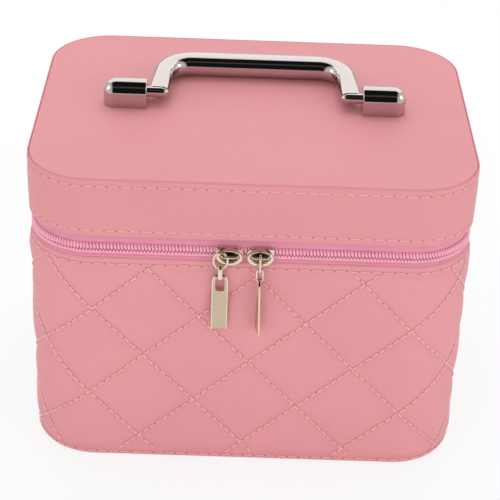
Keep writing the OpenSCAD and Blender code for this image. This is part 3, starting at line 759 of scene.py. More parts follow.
def make_lid_band():
    """Upright band of the lid, folded over at both edges and sewn near them."""
    profile = [(-3.0, 146.6), (-1.4, 146.45), (-0.7, 146.42), (-0.28, 146.62), (-0.05, 147.05),
               (0.05, 147.8), (0.02, 148.8), (-0.12, 149.7), (-0.26, 150.3), (-0.12, 150.9),
               (0.04, 151.9), (0.10, 154), (0.16, 158), (0.2, 163.5), (0.16, 169), (0.08, 173.5),
               (0.02, 175.2), (-0.12, 176.1), (-0.26, 176.7), (-0.12, 177.3), (0.0, 178.2),
               (0.0, 179.0), (-0.08, 179.6), (-0.25, 180.02), (-0.5, 180.28), (-0.68, 180.3),
               (-0.80, 180.12), (-0.86, 179.7), (-1.4, 179.2), (-3.0, 178.4), (-3.0, 146.6)]
    band = swept("lid_band", profile, 420, wave=0.05 * MM)
    z = get_points(band)[:, 2] / MM
    near = sum(np.exp(-((z - row) / 0.5) ** 2) for row in STITCH_ROWS)
    # painted shade along both stitch rows, and a dark painted seam line along the top edge
    mark(band, "drawn_in", np.clip(near * 0.3 + (z > 180.05) * 1.0, 0, 1))
    return band


def on_round_plan(x, y, shrink):
    """Maps a square-cornered plan onto the case's rounded one; gives also the inset from its edge."""
    half_w, half_d = CASE_W / 2 - shrink, CASE_D / 2 - shrink
    r = CORNER_R - shrink
    a, b = np.abs(x) - (half_w - r), np.abs(y) - (half_d - r)
    corner = (a > 1e-9) & (b > 1e-9)
    far, near = np.maximum(a, b), np.minimum(a, b)
    part = np.where(corner, near / np.maximum(far, 1e-9), 0) * math.pi / 4
    turn = np.where(a >= b, part, math.pi / 2 - part)
    x = np.where(corner, np.sign(x) * (half_w - r + far * np.cos(turn)), x)
    y = np.where(corner, np.sign(y) * (half_d - r + far * np.sin(turn)), y)
    inset = np.minimum(half_w - np.abs(x), half_d - np.abs(y))
    return x, y, np.where(corner, r - far, inset)


def plan_sheet(name, shrink, steps, inner_steps):
    """A flat sheet in the case's plan, with fine rows near its edge at the steps (mm)."""
    counts = []
    for half in (CASE_W / 2 - shrink, CASE_D / 2 - shrink):
        inner = np.linspace(0, half - steps[-1] * MM, inner_steps + 1)
        side = np.concatenate([inner, half - np.array(steps[::-1][1:]) * MM])
        counts.append(np.concatenate([-side[::-1], side[1:]]))
    sheet = start("grid", name, x_subdivisions=len(counts[0]) - 1, y_subdivisions=len(counts[1]) - 1, size=1)
    co = get_points(sheet)
    column, row = (np.rint((co[:, k] + 0.5) * (len(counts[k]) - 1)).astype(int) for k in (0, 1))
    x, y, inset = on_round_plan(counts[0][column], counts[1][row], shrink)
    set_points(sheet, np.stack([x, y, np.zeros(len(x))], 1))
    return sheet, inset


def close_below(sheet, depth):
    """Gives an open sheet a wall down from its border and a flat underside."""
    with editing(sheet, "EDGE"):
        bpy.ops.mesh.select_non_manifold()
        bpy.ops.mesh.extrude_region_move(TRANSFORM_OT_translate={"value": (0, 0, -depth)})
        bpy.ops.mesh.edge_face_add()
    return face_out(sheet)


def make_lid_top():
    """Top panel of the lid: a soft lip at its seam, then nearly flat."""
    steps = [0, 0.1, 0.35, 0.8, 1.5, 2.6, 4.2, 6.5, 10]
    sheet, inset = plan_sheet("lid_top", 0.92 * MM, steps, 26)
    co = get_points(sheet)
    e = inset / MM
    lip = np.interp(e, steps, [-0.55, -0.1, 0.22, 0.40, 0.46, 0.42, 0.26, 0.10, 0.04])
    wave = 0.09 * np.sin(co[:, 0] * 41 + 1.2 * np.sin(co[:, 1] * 37)) * np.sin(co[:, 1] * 53 + 0.7)
    co[:, 2] = CASE_H + (lip + wave * np.clip(e / 12, 0, 1)) * MM
    set_points(sheet, co)
    # painted shade in the seam round the panel's edge
    mark(sheet, "drawn_in", np.clip(1 - e / 0.35, 0, 1))
    return smooth(close_below(sheet, 2.0 * MM), 50)


# ---- zip ----


def wire(name, points, radius, sides=16, closed=False):
    """A wire of the given radius along the points, as a mesh."""
    data = bpy.data.curves.new(name, "CURVE")
    data.dimensions = "3D"
    data.bevel_depth = radius
    data.bevel_resolution = max(0, sides // 2 - 2)
    data.use_fill_caps = not closed
    line = data.splines.new("POLY")
    line.points.add(len(points) - 1)
    for point, place in zip(line.points, points):
        point.co = (*place, 1)
    line.use_cyclic_u = closed
    piece = bpy.data.objects.new(name, data)
    bpy.context.scene.collection.objects.link(piece)
    only(piece)
    bpy.ops.object.convert(target="MESH")
    piece = bpy.context.object
    piece.name = piece.data.name = name
    return smooth(piece)


COIL_PITCH = 1.81 * MM
MEET_Z = 138.1
ZIP_RUN = FRONT_HALF + BEND + SIDE_RUN + BEND * 48 / 90


def coil_turn(side):
    """One turn of the nylon coil: head at the meeting line, rib, and foot on its tape."""
    if side > 0:
        path = [(0, 3.1, 0.9, 0.38, 0.30), (0, 2.1, 0.15, 0.42, 0.34), (0, 1.45, 0.40, 0.52, 0.44),
                (-0.10, 1.32, 1.1, 0.80, 0.52), (-0.24, 1.5, 1.9, 0.82, 0.50), (-0.40, 2.05, 2.7, 0.74, 0.45),
                (-0.52, 2.7, 3.4, 0.60, 0.36)]
    else:
        path = [(0, 3.1, -0.9, 0.38, 0.30), (0, 2.2, -0.2, 0.42, 0.34), (0, 1.7, -0.45, 0.55, 0.42),
                (0.05, 1.55, -0.95, 0.84, 0.46), (0.1, 1.75, -1.6, 0.88, 0.46), (0.15, 2.2, -2.2, 0.84, 0.40),
                (0.2, 2.8, -2.7, 0.70, 0.34)]
    rings = []
    for k, (x, y, z, wide, thick) in enumerate(path):
        before, after = path[max(k - 1, 0)], path[min(k + 1, len(path) - 1)]
        ty, tz = after[1] - before[1], after[2] - before[2]
        size = math.hypot(ty, tz)
        ring = []
        for step in range(10):
            a = 2 * math.pi * step / 10
            w, t = wide * math.cos(a), thick * math.sin(a)
            ring.append(((x + w) * MM, (y - t * tz / size) * MM, (z + t * ty / size) * MM))
        rings.append(ring)
    return smooth(skinned("coil_turn", rings))


def make_coil(name, side, shift):
    """One half of the zip's coil: a row of turns, with a cord through the lower half."""
    count = int(2 * ZIP_RUN / COIL_PITCH)
    places = [case_place((k - (count - 1) / 2) * COIL_PITCH + shift, 0.0, MEET_Z * MM) for k in range(count)]
    rows = [row_of_copies(name, coil_turn(side), places)]
    if side < 0:
        cord = [tuple(case_place(u, -1.42 * MM, (MEET_Z - 1.7) * MM).col[3][:3])
                for u in np.linspace(-ZIP_RUN, ZIP_RUN, 420)]
        rows.append(wire("cord", cord, 0.50 * MM, sides=10))
    return joined(name, rows)


TAPE_PROFILES = {
    "upper": [(-2.2, 146.62), (-2.3, 145.9), (-2.5, 144.8), (-2.62, 143.9), (-2.5, 143.3), (-2.62, 142.7),
              (-2.75, 141.4), (-2.9, 139.6), (-3.2, 138.6), (-3.7, 138.6), (-3.8, 141.0), (-3.8, 148.2),
              (-3.45, 148.2), (-3.40, 146.62), (-2.2, 146.62)],
    "lower": [(-3.9, 138.0), (-3.2, 137.9), (-2.9, 137.0), (-2.6, 135.9), (-2.2, 135.25), (-1.7, 134.7),
              (-1.35, 134.3), (-1.15, 133.95), (-1.3, 133.7), (-2.2, 133.62), (-3.42, 133.62), (-3.45, 129.4),
              (-3.8, 129.4), (-3.9, 134.0), (-3.9, 138.0)],
}


def make_tape(name):
    """Woven tape: from under the leather to behind the coil."""
    tape = swept(f"tape_{name}", TAPE_PROFILES[name], 400)
    with editing(tape, "FACE"):
        # the zip ends in the back corners: the tape stops there
        limit = CASE_D / 2 - CORNER_R + CORNER_R * math.sin(math.radians(48))
        pick(lambda m, n: m.y > limit + 1.2 * MM, "FACE")
        bpy.ops.mesh.delete(type="FACE")
        bpy.ops.mesh.select_mode(type="EDGE")
        bpy.ops.mesh.select_non_manifold()
        bpy.ops.mesh.fill()
    return face_out(tape)


# ---- handle ----

MOUNT_SPAN, MOUNT_L, MOUNT_R = 0.120, 0.0244, 0.0073
HINGE_Z = CASE_H + 0.0074
PIVOT_R = 3.0 * MM


def make_mount(name):
    """Chrome mount for the right-hand side: a bullet shape drawn out towards the grip."""
    turned_x = MOUNT_SPAN / 2 + MOUNT_L - MOUNT_R
    mount = start("uv_sphere", name, segments=48, ring_count=24, radius=MOUNT_R,
                  location=(turned_x, 0, HINGE_Z))
    with editing(mount, "FACE"):
        pick(lambda m, n: m.z < HINGE_Z, "FACE")
        bpy.ops.mesh.delete(type="FACE")
        pick(lambda m, n: m.x < turned_x, "FACE")
        bpy.ops.mesh.delete(type="FACE")
        pick(lambda m, d: abs(m.x - turned_x) < 1e-6, "EDGE")
        bpy.ops.mesh.extrude_region_move(TRANSFORM_OT_translate={"value": (MOUNT_R - MOUNT_L, 0, 0)})
        pick(lambda m, d: abs(m.z - HINGE_Z) < 1e-6, "EDGE")
        bpy.ops.mesh.extrude_region_move(TRANSFORM_OT_translate={"value": (0, 0, CASE_H - HINGE_Z)})
        pick(lambda m, d: abs(m.x - MOUNT_SPAN / 2) < 1e-6, "EDGE")
        bpy.ops.mesh.edge_face_add()
        pick(lambda m, d: abs(m.z - CASE_H) < 1e-6, "EDGE")
        bpy.ops.mesh.edge_face_add()
    return face_out(mount)


def make_mounts():
    """The two mounts, with a bore for the handle's barrel, the left one mirrored."""
    for side in (1, -1):
        mount = make_mount("mount_right" if side > 0 else "mount_left")
        round_edges(mount, 0.7 * MM, 3, 50)
        bore = start("cylinder", "bore", vertices=40, radius=PIVOT_R + 0.25 * MM, depth=12 * MM,
                     location=(MOUNT_SPAN / 2 + 5 * MM, 0, HINGE_Z), rotation=(0, math.pi / 2, 0))
        apply_modifier(mount, "BOOLEAN", operation="DIFFERENCE", solver="EXACT", object=bore)
        bpy.data.objects.remove(bore)
        if side < 0:
            co = get_points(mount)
            co[:, 0] *= -1
            set_points(mount, co)
            mount.data.flip_normals()
        dress(smooth(mount, 40), chrome, "lid", "chrome", f"handle_{mount.name}")


LEG_X, LEG_W, GRIP_W, GRIP_T = 0.0538, 0.0116, 0.015, 0.0122
REACH, BEND_R = 0.040, 0.017
LEG_TOP, LEG_T = HINGE_Z + 3.3 * MM, 6.6 * MM
GRIP_TOP = CASE_H + 0.5 * MM + GRIP_T


def grip_section(width, thick, corner=6.0 * MM, per_corner=10):
    """Rounded section under the flat face: (across, up) points."""
    r = min(corner, thick / 2 - 0.2 * MM, width / 2 - 0.2 * MM)
    points = []
    for cx, cz, begin in ((1, 1, 0), (-1, 1, 90), (-1, -1, 180), (1, -1, 270)):
        for k in range(per_corner):
            a = math.radians(begin + 90 * k / (per_corner - 1))
            points.append((cx * (width / 2 - r) + r * math.cos(a),
                           -thick / 2 + cz * (thick / 2 - r) + r * math.sin(a)))
    return points


def handle_stations(leg_steps=10, bend_steps=18):
    """Places along the handle: (x, y, direction, width, thickness, height of the flat face)."""
    half = []
    lean, wider = 1.5 * MM, 0.4 * MM
    for k in range(leg_steps + 1):
        f = k / leg_steps
        s = f * f * (3 - 2 * f)
        half.append((LEG_X - lean * f, f * (REACH - BEND_R), 93 - 3 * s, LEG_W + wider * f,
                     LEG_T + (GRIP_T - LEG_T) * s, LEG_TOP + (GRIP_TOP - LEG_TOP) * s))
    for k in range(1, bend_steps + 1):
        f = k / bend_steps
        a = math.radians(90 * f)
        half.append((LEG_X - lean - BEND_R + BEND_R * math.cos(a), REACH - BEND_R + BEND_R * math.sin(a),
                     90 + 90 * f, LEG_W + wider + (GRIP_W - LEG_W - wider) * f, GRIP_T, GRIP_TOP))
    return half + [(-x, y, 360 - turn, w, t, top) for x, y, turn, w, t, top in reversed(half)]


def make_barrel(side):
    """Pivot end across a leg: turned bar with a long round nose towards the middle."""
    nose = 4.6 * MM
    inner = side * (LEG_X - LEG_W / 2 + nose)
    outer = side * (MOUNT_SPAN / 2 + 9 * MM)
    barrel = start("cylinder", "barrel", vertices=40, radius=PIVOT_R, depth=abs(outer - inner),
                   location=((inner + outer) / 2, 0, HINGE_Z), rotation=(0, math.pi / 2, 0))
    with editing(barrel, "FACE"):
        pick(lambda m, n: n.x * side < -0.9, "FACE")
        turned = [math.radians(a) for a in (0, 18, 36, 54, 70, 82)]
        for before, after in zip(turned, turned[1:]):
            step = nose * (math.sin(after) - math.sin(before))
            size = math.cos(after) / math.cos(before)
            bpy.ops.mesh.extrude_region_move(TRANSFORM_OT_translate={"value": (-side * step, 0, 0)})
            bpy.ops.transform.resize(value=(1, size, size))
    return smooth(barrel, 50)


def make_handle():
    """Chrome bail: one rounded bar from leg to leg, with a barrel across each end."""
    sections = []
    for x, y, turn, width, thick, top in handle_stations():
        s, c = math.sin(math.radians(turn)), math.cos(math.radians(turn))
        sections.append([(x + a * s, y - a * c, top + b) for a, b in grip_section(width, thick)])
    bar = skinned("handle", sections)
    handle = joined("handle", [smooth(bar, 50), make_barrel(1), make_barrel(-1)])
    return dress(handle, chrome, "handle", "chrome", "handle_bail")


# ---- sliders and pulls ----

SLIDER_L, SLIDER_W = 14.4 * MM, 10.6 * MM
PLATE_Y, DOME_Y, BRIDGE_Y = -0.08925, -0.09045, -0.09565
SLIDER_MID = {"left": -0.0110, "right": 0.0052}
HANG = {"left": (-0.0156, -0.09365), "right": (0.0052, -0.09565)}
LINK_Z, TAB_TOP, TAB_L = 0.1316, 0.1279, 34.4 * MM
PLATE_SHIFT = -1.2 * MM
FACE_L, FACE_H, FACE_DROP = 6.9 * MM, 4.75 * MM, 2.1 * MM
EYE_L, EYE_H, EYE_DROP = 5.6 * MM, 3.3 * MM, 1.65 * MM


def slider_outline(grow, count=64):
    """Front outline of a slider's plate, (x, z): square at its mouth and round at its nose."""
    r, corner = SLIDER_W / 2 + grow, 0.9 * MM
    back = -SLIDER_L / 2 - grow
    nose = SLIDER_L / 2 - SLIDER_W / 2
    points = [(nose + r * math.cos(a), r * math.sin(a))
              for a in np.linspace(-math.pi / 2, math.pi / 2, count // 2)]
    for sign, begin in ((1, math.pi / 2), (-1, math.pi)):
        points += [(back + corner + corner * math.cos(a), sign * (r - corner) + corner * math.sin(a))
                   for a in np.linspace(begin, begin + math.pi / 2, count // 4)]
    return points


def almond(half_l, half_h, count=64):
    """Pointed oval, (x, z), of two arcs."""
    r = (half_l ** 2 + half_h ** 2) / (2 * half_h)
    points = []
    for k in range(count):
        a = 2 * math.pi * k / count
        x = half_l * math.cos(a)
        z = math.sqrt(max(r * r - x * x, 0)) - (r - half_h)
        points.append((x, math.copysign(max(z, 0), math.sin(a))))
    return points


def make_slider(side):
    """Slider: a flat plate, and on it an oval face whose round rim falls into an almond-shaped eye."""
    way, mid = (1, SLIDER_MID[side]) if side == "left" else (-1, SLIDER_MID[side])
    plate = skinned("plate", [[(x, y, z) for x, z in slider_outline(grow * MM)] for grow, y in (
        (-0.35, PLATE_Y), (0, PLATE_Y - 0.3 * MM), (0, DOME_Y + 0.3 * MM), (-0.15, DOME_Y + 0.1 * MM),
        (-0.5, DOME_Y))])
    co = get_points(plate)
    co[:, 2] = co[:, 2] * 0.72 + PLATE_SHIFT
    set_points(plate, co)
    oval = [(FACE_L * math.cos(a), FACE_H * math.sin(a) - FACE_DROP)
            for a in (2 * math.pi * k / 64 for k in range(64))]
    eye = [(x, z - EYE_DROP) for x, z in almond(EYE_L, EYE_H)]
    rings = []
    # the rim, from the plate over its top and down into the eye, then the boss in the eye
    for part, height in ((0, 0), (0, 1.9), (0.03, 2.2), (0.10, 2.35), (0.26, 2.42), (0.50, 2.44),
                         (0.82, 2.38), (0.94, 2.2), (1.0, 1.7), (1.03, 0.8), (1.06, 0.15)):
        rings.append([(ox + (ex - ox) * part, DOME_Y - height * MM, oz + (ez - oz) * part)
                      for (ox, oz), (ex, ez) in zip(oval, eye)])
    for size, height in ((0.94, 0.1), (0.86, 0.55), (0.72, 1.15), (0.54, 1.65), (0.34, 2.0), (0.16, 2.15),
                         (0.05, 2.18)):
        rings.append([(x * size, DOME_Y - height * MM, (z + EYE_DROP) * size - EYE_DROP) for x, z in eye])
    slider = joined(f"slider_{side}", [smooth(plate, 40), smooth(skinned("face", rings), 60)])
    co = get_points(slider)
    co[:, 0] = mid + way * co[:, 0]
    co[:, 2] += SPLIT_Z
    set_points(slider, co)
    if way < 0:
        slider.data.flip_normals()
    # painted shade: the upper half of the eye, where no light comes in, gets near-black metal
    slider.data.materials.append(pale_polished)
    slider.data.materials.append(eye_shade_metal)
    shade_brow = np.array(almond(5.3 * MM, 3.0 * MM)[16::-1])
    for face in slider.data.polygons:
        x, y, z = face.center
        x, z = abs(x - mid), z - SPLIT_Z + 1.75 * MM
        in_painted_shade = x < 5.1 * MM and 0 < z < min(2.9 * MM, np.interp(x, shade_brow[:, 0], shade_brow[:, 1] + 0.15 * MM))
        if in_painted_shade and DOME_Y - 2.25 * MM < y < DOME_Y:
            face.material_index = 1
    return slider


def make_bridge(side):
    """Arched bar over the slider's eye, on two feet, which carries the pull."""
    path = [(-4.6, 5.4), (-4.6, 2.2), (-4.5, 1.1), (-4.1, 0.35), (-3.4, 0.05), (-1.8, 0)]
    path += [(-x, y) for x, y in reversed(path)]
    return wire(f"bridge_{side}", [(SLIDER_MID[side] + x * MM, BRIDGE_Y + y * MM, SPLIT_Z) for x, y in path],
                0.52 * MM)


def oval_path(centre, half_wide, half_high, along, count=56):
    """Oval ring of points about a centre; along is the axis, x or y, it is wide in."""
    points = []
    for k in range(count):
        a = 2 * math.pi * k / count
        w, h = half_wide * math.cos(a), half_high * math.sin(a)
        points.append((centre[0] + (w if along == "x" else 0), centre[1] + (w if along == "y" else 0),
                       centre[2] + h))
    return points


def stadium_path(centre, r, run, along, steps=10):
    """Long ring: two half circles of radius r, the upper about the centre, joined by straight wires."""
    points = []
    for k in range(2 * steps + 2):
        a = math.pi * (k if k <= steps else k - 1) / steps
        w, h = r * math.cos(a), r * math.sin(a) - (0 if k <= steps else run)
        points.append((centre[0] + (w if along == "x" else 0), centre[1] + (w if along == "y" else 0),
                       centre[2] + h))
    return points


def make_loop(side):
    """First ring of a pull: an oval seen from the front on the left, a long link edge on on the right."""
    x, y = HANG[side]
    if side == "left":
        top = SPLIT_Z + 1.4 * MM
        path = oval_path((x, y, (top + LINK_Z) / 2), 3.7 * MM, (top - LINK_Z) / 2, "x")
        return wire("loop_left", path, 0.66 * MM, closed=True)
    return wire("loop_right", stadium_path((x, y, SPLIT_Z), 1.8 * MM, 6.6 * MM, "y"), 0.6 * MM, closed=True)


def make_link(side):
    """Short link between loop and tab: a broad flat band on the left, a wire ring on the right."""
    x, y = HANG[side]
    path = stadium_path((x, y, LINK_Z), 1.6 * MM, 4.2 * MM, "y" if side == "left" else "x")
    link = wire(f"link_{side}", path, 0.6 * MM, closed=True)
    co = get_points(link)
    if side == "left":
        # the band leans out at its foot
        drop = np.clip((LINK_Z - co[:, 2]) / (4.2 * MM), 0, 1)
        co[:, 1] += np.where(co[:, 1] < y, (0.85 - 1.7 * drop) * MM, 0)
        co[:, 0] = x + (co[:, 0] - x) * 2.0
    else:
        co[:, 1] = y + (co[:, 1] - y) * 1.3
    return set_points(link, co)


def tab_outline(grow):
    """Outline of a pull tab below its top, (x, z): round shoulders and nearly sharp feet."""
    half, length, shoulder, foot = 4.3 * MM + grow, TAB_L + grow, 3.0 * MM, 0.6 * MM
    points = []
    for cx, cz, r, tall, begin in ((half - shoulder, grow - 1.6 * shoulder, shoulder, 1.6, 0),
                                   (shoulder - half, grow - 1.6 * shoulder, shoulder, 1.6, 90),
                                   (foot - half, foot - length, foot, 1.0, 180),
                                   (half - foot, foot - length, foot, 1.0, 270)):
        points += [(cx + r * math.cos(math.radians(begin + 10 * k)),
                    cz + tall * r * math.sin(math.radians(begin + 10 * k))) for k in range(10)]
    return points


def slot_outline(grow):
    """The tab's slot, (x, z): an arch, straight sides and a small notch in its foot."""
    half, notch = 2.2 * MM + grow, 0.6 * MM + grow
    arch_z, foot_z = -3.5 * MM, -9.2 * MM - grow
    points = [(half * math.cos(a), arch_z + half * math.sin(a)) for a in np.linspace(0, math.pi, 17)]
    points += [(-half, -6.5 * MM), (-half, foot_z)]
    points += [(notch * math.cos(a), foot_z + notch * math.sin(a))
               for a in np.linspace(math.pi, 2 * math.pi, 9)]
    return points + [(half, foot_z), (half, -6.5 * MM)]


def on_ray(outline, centre, toward):
    """Where the ray from the centre toward a point leaves the outline."""
    dx, dz = toward[0] - centre[0], toward[1] - centre[1]
    best = 0.0
    for (ax, az), (bx, bz) in zip(outline, outline[1:] + outline[:1]):
        ex, ez = bx - ax, bz - az
        cross = dx * ez - dz * ex
        if abs(cross) < 1e-15:
            continue
        t = ((ax - centre[0]) * ez - (az - centre[1]) * ex) / cross
        along = ((ax - centre[0]) * dz - (az - centre[1]) * dx) / cross
        if -1e-9 <= along <= 1 + 1e-9:
            best = max(best, t)
    return centre[0] + best * dx, centre[1] + best * dz


def make_tab(side):
    """Pull tab: a bevelled plate with an arched slot; the right one hangs edge on, a little turned."""
    half_t, bevel = 0.75 * MM, 0.55 * MM
    centre = (0.0, -5.0 * MM)
    outer = tab_outline(0)
    slot_points = slot_outline(0)
    toward = outer + slot_points
    toward.sort(key=lambda q: math.atan2(q[1] - centre[1], q[0] - centre[0]))
    rings = []
    for outline, grow, y in ((slot_outline, 0.0, half_t - 0.2 * MM), (slot_outline, 0.0, 0.2 * MM - half_t),
                             (slot_outline, 0.2 * MM, -half_t), (tab_outline, -bevel, -half_t),
                             (tab_outline, 0.0, 0.38 * MM - half_t), (tab_outline, 0.0, half_t - 0.38 * MM),
                             (tab_outline, -bevel, half_t), (slot_outline, 0.2 * MM, half_t),
                             (slot_outline, 0.0, half_t - 0.2 * MM)):
        line = outline(grow)
        rings.append([(x, y, z) for x, z in (on_ray(line, centre, q) for q in toward)])
    tab = smooth(skinned(f"tab_{side}", rings, caps=False), 25)
    tab.data.materials.append(pale_gold)
    tab.data.materials.append(pale_polished)
    for face in tab.data.polygons:
        face.use_smooth = abs(face.normal.y) < 0.97
        face.material_index = int(face.use_smooth)
    x, y = HANG[side]
    co = get_points(tab)
    if side == "right":
        turn = np.radians(90 + 10.5 * np.clip(-co[:, 2] / TAB_L, 0, 1))
        co[:, 0], co[:, 1] = (co[:, 0] * np.cos(turn) - co[:, 1] * np.sin(turn),
                              co[:, 0] * np.sin(turn) + co[:, 1] * np.cos(turn))
    co += (x, y, TAB_TOP)
    return set_points(tab, co)


def make_pulls():
    """Both sliders with their bridges, loops, links and tabs."""
    for side in ("left", "right"):
        for piece, look, body, node in (
                (make_slider(side), pale_polished, f"slider_{side}", f"slider_body_{side}"),
                (make_bridge(side), pale_polished, f"slider_{side}", f"slider_bridge_{side}"),
                (make_loop(side), pale_polished, f"loop_{side}", f"pull_loop_{side}"),
                (make_link(side), pale_polished, f"pull_{side}", f"pull_link_{side}"),
                (make_tab(side), pale_gold, f"pull_{side}", f"pull_tab_{side}")):
            dress(piece, look, body, "pale_metal", node)


# ---- back hinge, linings and mirror ----


def map_flat(piece):
    """Gives a flat piece a map in metres."""
    co = get_points(piece)
    uv = piece.data.uv_layers.active.data
    uv.foreach_set("uv", co[[loop.vertex_index for loop in piece.data.loops], :2].ravel())
    return piece


HINGE_HALF = TURN / 2 - ZIP_RUN + 0.6 * MM


def make_hinge_sheet():
    """One strip of leather over the back gap, from zip end to zip end, sewn in under both covers."""
    # millimetres: coarse rows under the covers, fine ones between them
    spans = ((129, 133, 5), (133.6, 146.4, 36), (147, 151, 5))
    heights = np.concatenate([np.linspace(*rows) for rows in spans])
    strip = start("grid", "hinge_sheet", x_subdivisions=150, y_subdivisions=len(heights) - 1, size=1,
                  rotation=(math.pi / 2, 0, 0))
    co = get_points(strip)
    z = heights[np.rint((co[:, 2] + 0.5) * (len(heights) - 1)).astype(int)]
    fold = SPLIT_Z / MM
    free = np.clip((8.6 - np.abs(z - fold)) / 2.4, 0, 1)
    free = free * free * (3 - 2 * free)
    x = co[:, 0] * 2 * HINGE_HALF
    y = 86.9 + 1.75 * free - 0.35 * np.exp(-((z - fold) / 1.3) ** 2)
    y += 0.10 * free * np.sin(x * 150 + z * 0.3) * np.sin(x * 61)
    set_points(strip, np.stack([TURN / 2 - x, CASE_D / 2 - y * MM, z * MM], 1))
    # painted shade in the fold
    mark(strip, "drawn_in", np.exp(-((z - fold) / 0.8) ** 2))
    wrap(strip)
    apply_modifier(strip, "SOLIDIFY", thickness=1.1 * MM, offset=0.0)
    face_out(strip)
    smooth(strip, 50)
    strip.data.materials.append(plain_leather)
    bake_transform(strip)
    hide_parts("hinge_strip_lower", "hinge_strip_upper")
    return strip


WALL_LININGS = {
    "base": [(-6.05, 5.25), (-6.95, 5.3), (-7.0, 20), (-7.0, 50), (-7.0, 80), (-7.0, 110), (-7.0, 128),
             (-6.98, 131.0), (-6.8, 132.2), (-6.4, 132.8), (-5.8, 133.0), (-4.6, 133.02), (-3.6, 132.98),
             (-3.2, 132.85), (-3.2, 132.65), (-6.05, 132.65), (-6.05, 5.25)],
    "lid": [(-6.05, 173.5), (-6.95, 173.45), (-7.0, 170), (-7.0, 162), (-7.0, 154), (-6.98, 149.2),
            (-6.8, 147.9), (-6.4, 147.15), (-5.8, 146.95), (-4.6, 146.92), (-3.6, 146.97), (-3.2, 147.1),
            (-3.2, 147.35), (-6.05, 147.35), (-6.05, 173.5)],
}


def make_wall_lining(body):
    """Suede-like lining glued inside the walls and folded over their rim."""
    lining = swept(f"{body}_lining", WALL_LININGS[body], 420, wave=0.08 * MM)
    dress(lining, lining_cloth, body, "lining", "base_wall_lining" if body == "base" else "lid_band_lining")
    return lining


def make_flat_lining(body):
    """Lining of the floor or of the lid's underside, a little loose over its board."""
    lining, inset = plan_sheet(f"{body}_panel_lining", 6.1 * MM, [0, 0.3, 0.9, 2, 4, 8], 30)
    co = get_points(lining)
    loose = np.clip(inset / (9 * MM), 0, 1)
    co[:, 2] = loose * (0.22 * np.sin(co[:, 0] * 52 + 0.9 * np.sin(co[:, 1] * 61))
                        * np.sin(co[:, 1] * 47 + 0.5) - 0.25) * MM
    co[:, 2] -= 0.5 * MM * np.clip(1 - inset / (0.6 * MM), 0, 1)
    if body == "lid":
        co[:, 2] = 0.17352 - 0.15 * co[:, 2]
    else:
        co[:, 2] += 0.0054
    map_flat(set_points(lining, co))
    close_below(lining, 0.9 * MM if body == "base" else -0.9 * MM)
    dress(smooth(lining, 50), lining_cloth, body, "lining",
          "base_floor_lining" if body == "base" else "lid_top_lining")
    return lining


def round_box_line(half_w, half_d, r, z, per_corner=8):
    """Rounded rectangle of points at a height."""
    points = []
    for sx, sy, begin in ((1, 1, 0), (-1, 1, 90), (-1, -1, 180), (1, -1, 270)):
        for k in range(per_corner):
            a = math.radians(begin + 90 * k / (per_corner - 1))
            points.append((sx * (half_w - r) + r * math.cos(a), sy * (half_d - r) + r * math.sin(a), z))
    return points


FRAME_HALF_W, FRAME_HALF_D = 60.8, 48


def make_mirror():
    """Bevelled mirror plate in a rounded leather frame, on the lid's underside."""
    rings = []
    for inset, z in ((0.0, 173.4), (0.0, 171.2), (0.25, 170.7), (0.8, 170.4), (1.6, 170.3), (4.4, 170.3),
                     (5.2, 170.45), (5.7, 170.8), (5.9, 171.3), (5.9, 173.4), (0.0, 173.4)):
        corner = max(4.5 - inset * 0.4, 1)
        rings.append(round_box_line((FRAME_HALF_W - inset) * MM, (FRAME_HALF_D - inset) * MM,
                                    corner * MM, z * MM))
    rim = smooth(skinned("mirror_rim", rings, caps=False), 40)
    dress(rim, plain_leather, "lid", "plain_leather", "mirror_frame")
    plate = []
    for inset, z in ((5.3, 173.4), (5.3, 171.9), (5.9, 171.75), (8.5, 171.5), (20, 171.5)):
        plate.append(round_box_line((FRAME_HALF_W - inset) * MM, (FRAME_HALF_D - inset) * MM,
                                    2.5 * MM, z * MM))
    glass = smooth(skinned("mirror_plate", plate), 8)
    dress(glass, mirror_silver, "lid", "mirror", "mirror_glass")


def make_bottom_cover():
    """Leather under the case, with a turned-in rim."""
    steps = [0, 0.2, 0.6, 1.2, 2.4, 5, 9]
    cover, inset = plan_sheet("bottom_cover", 3.1 * MM, steps, 24)
    co = get_points(cover)
    e = inset / MM
    co[:, 2] = np.interp(e, steps, [0.6, 0.32, 0.1, 0.02, 0.0, 0.12, 0.2]) * MM
    co[:, 2] += 0.08 * MM * np.clip(e / 14, 0, 1) * (1 + np.sin(co[:, 0] * 57) * np.sin(co[:, 1] * 63))
    set_points(cover, co)
    # painted shade along the turned-in rim
    mark(cover, "drawn_in", np.clip(1 - e / 0.6, 0, 1))
    close_below(cover, -1.0 * MM)
    dress(smooth(cover, 50), plain_leather, "base", "plain_leather", "base_bottom_cover")


def make_end_tab(side):
    """Folded leather tab over the end of the zip, pinched at its middle."""
    tab = start("cube", "end_tab", size=2)
    with editing(tab, "EDGE"):
        bpy.ops.mesh.select_all(action="SELECT")
        bpy.ops.mesh.subdivide(number_cuts=5)
    co = get_points(tab)
    pinch = 1 - 0.22 * np.exp(-(co[:, 0] / 0.3) ** 2)
    co *= (2.3 * MM, 0.62 * MM, 1.75 * MM)
    co[:, 1] *= pinch
    set_points(tab, co)
    round_edges(tab, 0.35 * MM, 3, 50)
    place = case_place(side * (ZIP_RUN - 0.2 * MM), -1.75 * MM, 0.13803)
    tab.data.transform(place)
    tab.name = tab.data.name = "end_tab_right" if side > 0 else "end_tab_left"
    return dress(smooth(tab, 50), plain_leather, "base", "plain_leather", "zip_end_tabs")


# ---- putting the case together ----

